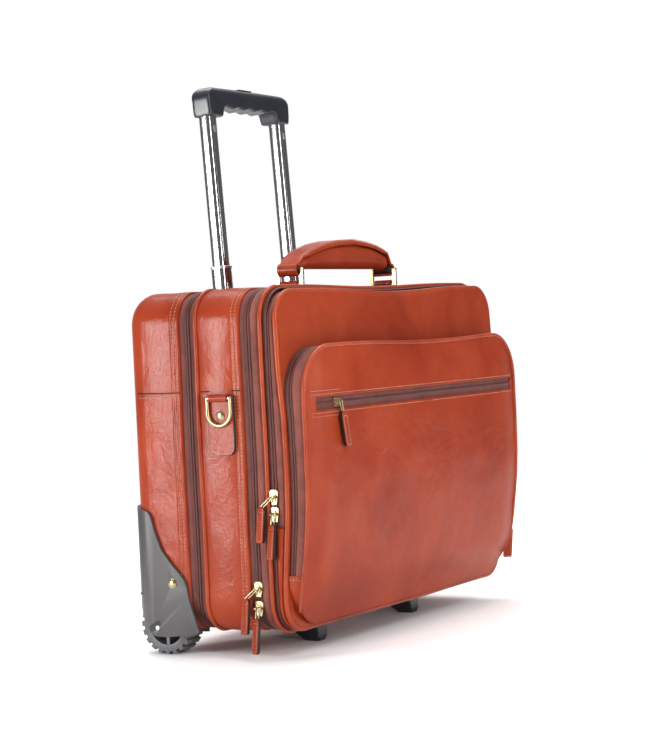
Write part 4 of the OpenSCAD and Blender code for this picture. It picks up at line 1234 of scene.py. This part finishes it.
def folded(name, path, y0, y1, deep, fold, rows=9):
    """Folded cloth between two sections, swept with fixed folds."""
    depth = np.linspace(y0, y1, rows)
    profile = [(d, -deep - (fold if k % 2 else 0.0)) for k, d in enumerate(depth)]
    verts, faces = sweep(path, profile, closed_profile=False)
    made = mesh(name, None, settle(verts), faces, TAPE, sharp=80)
    around = np.vstack([path.points, path.points[:1]]) if path.closed else path.points
    length = float(np.hypot(*np.diff(around, axis=0).T).sum())
    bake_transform(made)
    return made


def bellows():
    folded("expander_bellows", CASE, ZIP1_Y + 4, ZIP1_Y - 4, 4.2, 4.6)
    folded("organiser_bellows", PANEL.cut(ZIP3_END, False),
           ZIP3_Y + 2.6, ZIP3_Y - 2.6, 4.6, 3.0)
    folded("pocket_bellows", POCKET.cut(ZIP4_END, False),
           ZIP4_Y + 2.4, ZIP4_Y - 2.4, 4.6, 3.0)


# ---------- sliders and pullers ----------

def basis(out):
    """Axes of a zip fitting: outward, then across to the case's rear or right, then up."""
    out = Vector(out)
    return out, Vector((0, 0, 1)).cross(out) * -1, Vector((0, 0, 1))


def put(points, at, axes):
    out, side, up = axes
    return [list(Vector(at) + out * p[0] + side * p[1] + up * p[2]) for p in points]


def prism(shape, x0, x1, round_off=0.35):
    """A plate with an outline in (side, up) between two outward levels, its rims eased."""
    shape = np.array(shape, float)
    rings = [(x0, shape), (x1 - round_off, shape), (x1, shrink(shape, round_off))]
    n = len(shape)
    verts = [[x, p[0], p[1]] for x, s in rings for p in s]
    return verts, ring_faces(3, n)


def wire(points, r, count=8):
    """A round wire along points given in (out, side, up)."""
    pts = [Vector(p) for p in points]
    verts = []
    for i, p in enumerate(pts):
        t = (pts[min(i + 1, len(pts) - 1)] - pts[max(i - 1, 0)]).normalized()
        turn = t.to_track_quat("Z", "Y").to_matrix()
        for k in range(count):
            a = math.tau * k / count
            verts.append(list(p + turn @ Vector((r * math.cos(a), r * math.sin(a), 0))))
    return verts, ring_faces(len(pts), count)


def join(*parts):
    verts, faces = [], []
    for v, f in parts:
        k = len(verts)
        verts += list(v)
        faces += [tuple(k + i for i in face) for face in f]
    return verts, faces


SLIDER_BODY = [(-2.6, -7), (2.6, -7), (4.4, 2), (4.4, 5.5), (2.4, 7), (-2.4, 7), (-4.4, 5.5), (-4.4, 2)]


def slider(node_name, at, out, sideways=False):
    shape = [(b, a) for a, b in SLIDER_BODY] if sideways else SLIDER_BODY
    crown = [(-1.7, -3.6), (1.7, -3.6), (2.1, 0), (1.7, 3.6), (-1.7, 3.6), (-2.1, 0)]
    crown = [(b, a) for a, b in crown] if sideways else crown
    bail = [(0.6, -3.5, 0), (4.2, -3.5, 0), (4.2, 3.5, 0), (0.6, 3.5, 0)]
    verts, faces = join(prism(shape, 0.2, 1.9), prism(crown, 1.5, 3.0), wire(bail, 0.85))
    return mesh(f"{node_name}_brass", node_name, put(verts, at, basis(out)), faces, BRASS, slot="brass",
                stands_for=[node_name], sharp=32)


def puller(node_name, at, out, aside=0.0, tilt=0.0, twist=0.0, length=34.0):
    """A brass link and the stitched leather that hangs from it, its cut edges painted black."""
    axes = basis(out)
    c, d = math.cos(math.radians(twist)), math.sin(math.radians(twist))

    def hang(points):
        return put([[x, side - tilt * (up + 4), up] for x, side, up in points], at, axes)

    def leather_at(points):
        return hang([[5.6 + x * c - y * d, aside + x * d + y * c, up] for x, y, up in points])

    top, bottom = -8.4, -7 - length
    loop = [(4.9, -1.5, 1.4), (5.3, aside - 1.9, top), (5.3, aside - 1.3, -10.6),
            (5.3, aside + 1.3, -10.6), (5.3, aside + 1.9, top), (4.9, 1.5, 1.4), (4.9, -1.5, 1.4)]
    verts, faces = wire(loop, 0.72)
    mesh(f"{node_name}_link", node_name, hang(verts), faces, BRASS, slot="brass", sharp=50)
    half = [(3.2, top), (4.7, top - 3.2), (4.7, bottom + 1.6), (4.2, bottom + 0.4), (3.1, bottom)]
    shape = np.array([(-3.2, top)] + half + [(-a, b) for a, b in half[:0:-1]])
    rings = []
    for x, inset in ((-1.7, 0.6), (-1.4, 0.1), (-1.3, 0), (1.3, 0), (1.4, 0.1), (1.7, 0.6)):
        s = shrink(shape, inset) if inset else shape
        rings.append(np.array(leather_at([[x, p[0], p[1]] for p in s])))
    slab_piece(f"{node_name}_leather", node_name, rings, LEATHER, "leather", [node_name])
    up_seam, cross_seam = np.linspace(bottom + 1.7, top - 5.0, 12), np.linspace(-3.2, 3.2, 4)
    for face in (1, -1):
        x, outward = face * 1.72, list(axes[0] * face)
        for side in (-1, 1):
            line = leather_at([[x, side * 3.2, z] for z in up_seam])
            stitch_row(node_name, line, [outward] * len(line), pitch=2.4, length=1.7, r=0.36)
        for z in (top - 4.6, bottom + 1.6):
            line = leather_at([[x, v, z] for v in cross_seam])
            stitch_row(node_name, line, [outward] * len(line), pitch=2.1, length=1.5, r=0.36)


TWISTS = {"upper": 17, "lower": 24}


def zip_fittings():
    coil_x = HALF_W - 1
    spots = [("main", ZIP2_Y, -1), ("organiser", ZIP3_Y, -1), ("pocket", ZIP4_Y, 1)]
    for tag, y, side in spots:
        for level in ("upper", "lower"):
            lo, hi = box_mm(f"{tag}_slider_{level}")
            at = (side * coil_x, y, (lo[2] + hi[2]) / 2)
            slider(f"{tag}_slider_{level}", at, (side, 0, 0))
            aside = 0.0
            if level == "upper":
                aside = box_mm(f"{tag}_pull_{level}")[1][1] - 5 - y
            puller(f"{tag}_pull_{level}", at, (side, 0, 0), aside * -side, 0.10 * -side,
                   twist=TWISTS[level] * -side)
    lo, hi = box_mm("flat_slider")
    at = ((lo[0] + hi[0]) / 2, POCKET_Y - 0.6, FLAT_Z)
    slider("flat_slider", at, (0, -1, 0), sideways=True)
    puller("flat_pull", at, (0, -1, 0), tilt=-0.20)
    lo, hi = box_mm("expander_slider")
    slider("expander_slider", (coil_x, ZIP1_Y, hi[2] - 7), (1, 0, 0))


# ---------- trolley details ----------

def on_tube(points, side):
    """Points given round a tube's own axis, moved to the leaning tube."""
    turn = Matrix.Rotation(math.radians(-3), 3, "X")
    base = Vector((side * TUBE_X, TUBE_Y, CASE_Z1))
    return [list(base + turn @ Vector(p)) for p in points]


TUBE_X = box_mm("inner_tubes")[1][0] - 7.5
TUBE_Y = BEZEL[0][1] + 14


def crisp(v, power):
    """v with its size raised to a power and its sign kept, which squares up a circle."""
    return math.copysign(abs(v) ** power, v)


def square_ring(size, z0, z1, wall, crown=3.4, count=64):
    """A square tube whose faces are slightly crowned, from z0 to z1 along its axis."""
    turns = [math.tau * k / count for k in range(count)]
    outer = np.array([(size / 2 * crisp(math.cos(t), 2 / crown), size / 2 * crisp(math.sin(t), 2 / crown))
                      for t in turns])
    inner = outer * (1 - 2 * wall / size)
    loops = [(outer, z0), (outer, z1 - 0.4), (shrink(outer, 0.4), z1), (inner, z1), (inner, z0)]
    verts = [[p[0], p[1], z] for s, z in loops for p in s]
    faces = [(k * count + i, k * count + (i + 1) % count, ((k + 1) % 5) * count + (i + 1) % count,
              ((k + 1) % 5) * count + i) for k in range(5) for i in range(count)]
    return verts, faces


def tube_pair(node_name, body, size, wall, mat, slot):
    """Both tubes of one stage, as long as the CAD node."""
    lo, hi = box_mm(node_name)
    z0, z1 = (lo[2] - CASE_Z1 + 0.6) / TUBE_COS, (hi[2] - CASE_Z1 - 0.6) / TUBE_COS
    for side, word in SIDES:
        verts, faces = square_ring(size, z0, z1, wall)
        mesh(f"{node_name}_{word}", body, on_tube(verts, side), faces, mat, slot=slot,
             stands_for=[node_name] if side < 0 else [])


TUBE_COS = math.cos(math.radians(3))


def trolley_details():
    tube_pair("inner_tubes", "trolley_grip", 15.0, 1.0, CHROME, "chrome_tube")
    tube_pair("middle_tubes", "trolley_middle", 17.8, 1.0, CHROME, "chrome_tube")
    mid_top = box_mm("middle_tubes")[1][2] - CASE_Z1
    for side, word in SIDES:
        verts, faces = square_ring(18.7, mid_top - 2.4, mid_top + 0.3, 1.4)
        mesh(f"cuff_{word}", "trolley_middle", on_tube(verts, side), faces, SATIN_TUBE,
             slot="chrome_tube")
        plate = prism([(-1.7, -3.2), (1.7, -3.2), (1.7, 3.2), (-1.7, 3.2)], 0, 0.25, 0.1)
        local = [[p[1], -7.5 - p[0], 164 + p[2]] for p in plate[0]]
        mesh(f"lock_window_{word}", "trolley_grip", on_tube(local, side), plate[1], SATIN_TUBE,
             slot="chrome_tube")


def axle_slots():
    """The slot in each guard that the axle's end sits in, drawn as a flat black plate of painted shade,
    with the bolt that holds it.
    """
    axle_lo, axle_hi = box_mm("axles")
    y, z = (axle_lo[1] + axle_hi[1]) / 2, (axle_lo[2] + axle_hi[2]) / 2
    for side, word in SIDES:
        x = side * (axle_hi[0] + 0.75)
        turn = math.radians(-32)
        cos, sin = math.cos(turn), math.sin(turn)
        shape = []
        for cx, a0 in ((4.2, -90), (-4.2, 90)):
            shape += [(cx + 3.1 * math.cos(math.radians(a0 + a)), 3.1 * math.sin(math.radians(a0 + a)))
                      for a in range(0, 181, 20)]
        shape = [(c * cos - d * sin + 1.6, c * sin + d * cos + 1.0) for c, d in shape]
        plate, faces = prism(shape, -0.5, 0.12, 0.1)
        verts = [[x + side * p[0], y + p[1], z + p[2]] for p in plate]
        # the black plate is painted shade standing for the slot's opening
        mesh(f"axle_slot_{word}", "rear_case", verts, faces, EDGE_PAINT_AND_SHADE, slot="black_plastic")
        lathe(f"axle_bolt_{word}", "rear_case", (x - side * 0.5, y - 1.4, z - 0.9), (side, 0, 0),
              [(0, 2.3), (0.9, 2.3), (1.3, 2.0), (1.4, 1.2), (1.1, 0.9)], STEEL, "steel")


# ---------- stage ----------

FLOOR_R = 2.0


def studio():
    floor = bpy.data.meshes.new("floor")
    turns = [math.tau * k / 96 for k in range(96)]
    rim = [(FLOOR_R * math.cos(a), FLOOR_R * math.sin(a), 0) for a in turns]
    floor.from_pydata(rim, [], [tuple(range(96))])
    plane = bpy.data.objects.new("floor", floor)
    bpy.context.scene.collection.objects.link(plane)
    mat, _, shader = new_material("floor", 0.9)
    shader.inputs["Base Color"].default_value = (0.95, 0.95, 0.95, 1)
    floor.materials.append(mat)
    surroundings()
    bpy.context.scene.view_settings.view_transform = "Standard"

    def light(name, at, size_x, size_y, power, aim=(0, 0, 0.2)):
        data = bpy.data.lights.new(name, "AREA")
        data.shape, data.size, data.size_y, data.energy = "RECTANGLE", size_x, size_y, power
        lamp = bpy.data.objects.new(name, data)
        lamp.location = at
        lamp.rotation_mode = "QUATERNION"
        lamp.rotation_quaternion = (Vector(at) - Vector(aim)).to_track_quat("Z", "Y")
        bpy.context.scene.collection.objects.link(lamp)

    light("side_box", (-1.35, 0.84, 0.32), 0.26, 0.60, 17)
    light("edge_strip", (-0.80, -1.75, 0.45), 0.20, 1.0, 16)
    light("top_box", (0.5, 0.3, 2.0), 1.8, 1.6, 37)
    light("key", (-1.15, -1.45, 1.35), 0.7, 0.7, 17)
    light("front_sheen", (1.02, -1.62, 0.34), 0.16, 0.7, 3)


def surroundings():
    """A studio seen in reflections: white overhead and behind the case, dim in front of it."""
    world = bpy.data.worlds.new("studio")
    bpy.context.scene.world = world
    world.use_nodes = True
    tree = world.node_tree
    way = node(tree, "ShaderNodeTexCoord").outputs["Generated"]
    behind = node(tree, "ShaderNodeVectorMath", [(0, way)], operation="DOT_PRODUCT")
    behind.inputs[1].default_value = (0.857, 0.515, 0.0)
    overhead = node(tree, "ShaderNodeSeparateXYZ", [("Vector", way)]).outputs[2]
    sides = []
    for value, low, high in ((behind.outputs["Value"], 0.72, 0.90), (overhead, 0.45, 0.85)):
        part = node(tree, "ShaderNodeMapRange", [("Value", value)], interpolation_type="SMOOTHSTEP")
        part.inputs["From Min"].default_value = low
        part.inputs["From Max"].default_value = high
        sides.append(part.outputs["Result"])
    most = node(tree, "ShaderNodeMath", [(0, sides[0]), (1, sides[1])], operation="MAXIMUM")
    background = tree.nodes["Background"]
    background.inputs["Color"].default_value = (1, 1, 1, 1)
    tree.links.new(remap(tree, most.outputs[0], 0.18, 1.0), background.inputs["Strength"])


def camera():
    """Camera at the viewing angle: azimuth, elevation and roll in degrees round a target in metres."""
    azimuth, elevation, roll = map(math.radians, (-58.974, 1.211, -2.707))
    target, distance, lens = Vector((0, 0.01274, 0.25624)), 2.0176, 97.08
    back = Vector((math.sin(azimuth) * math.cos(elevation), -math.cos(azimuth) * math.cos(elevation),
                   math.sin(elevation)))
    forward = -back
    right = forward.cross(Vector((0, 0, 1))).normalized()
    up = right.cross(forward)
    across = math.cos(roll) * right + math.sin(roll) * up
    above = -math.sin(roll) * right + math.cos(roll) * up
    data = bpy.data.cameras.new("camera")
    data.lens, data.sensor_width = lens, 36
    made = bpy.data.objects.new("camera", data)
    bpy.context.scene.collection.objects.link(made)
    turn = Matrix((across, above, back)).transposed().to_4x4()
    made.matrix_world = Matrix.Translation(target + back * distance) @ turn
    bpy.context.scene.camera = made


rear_section()
middle_section()
zips()
front_sections()
pocket()
hard_parts()
side_tabs()
handle_bases()
carry_handle()
handle_strap()
handle_rings()
sleeve()
linings()
organiser()
bellows()
zip_fittings()
trolley_details()
axle_slots()
sew()
studio()
camera()
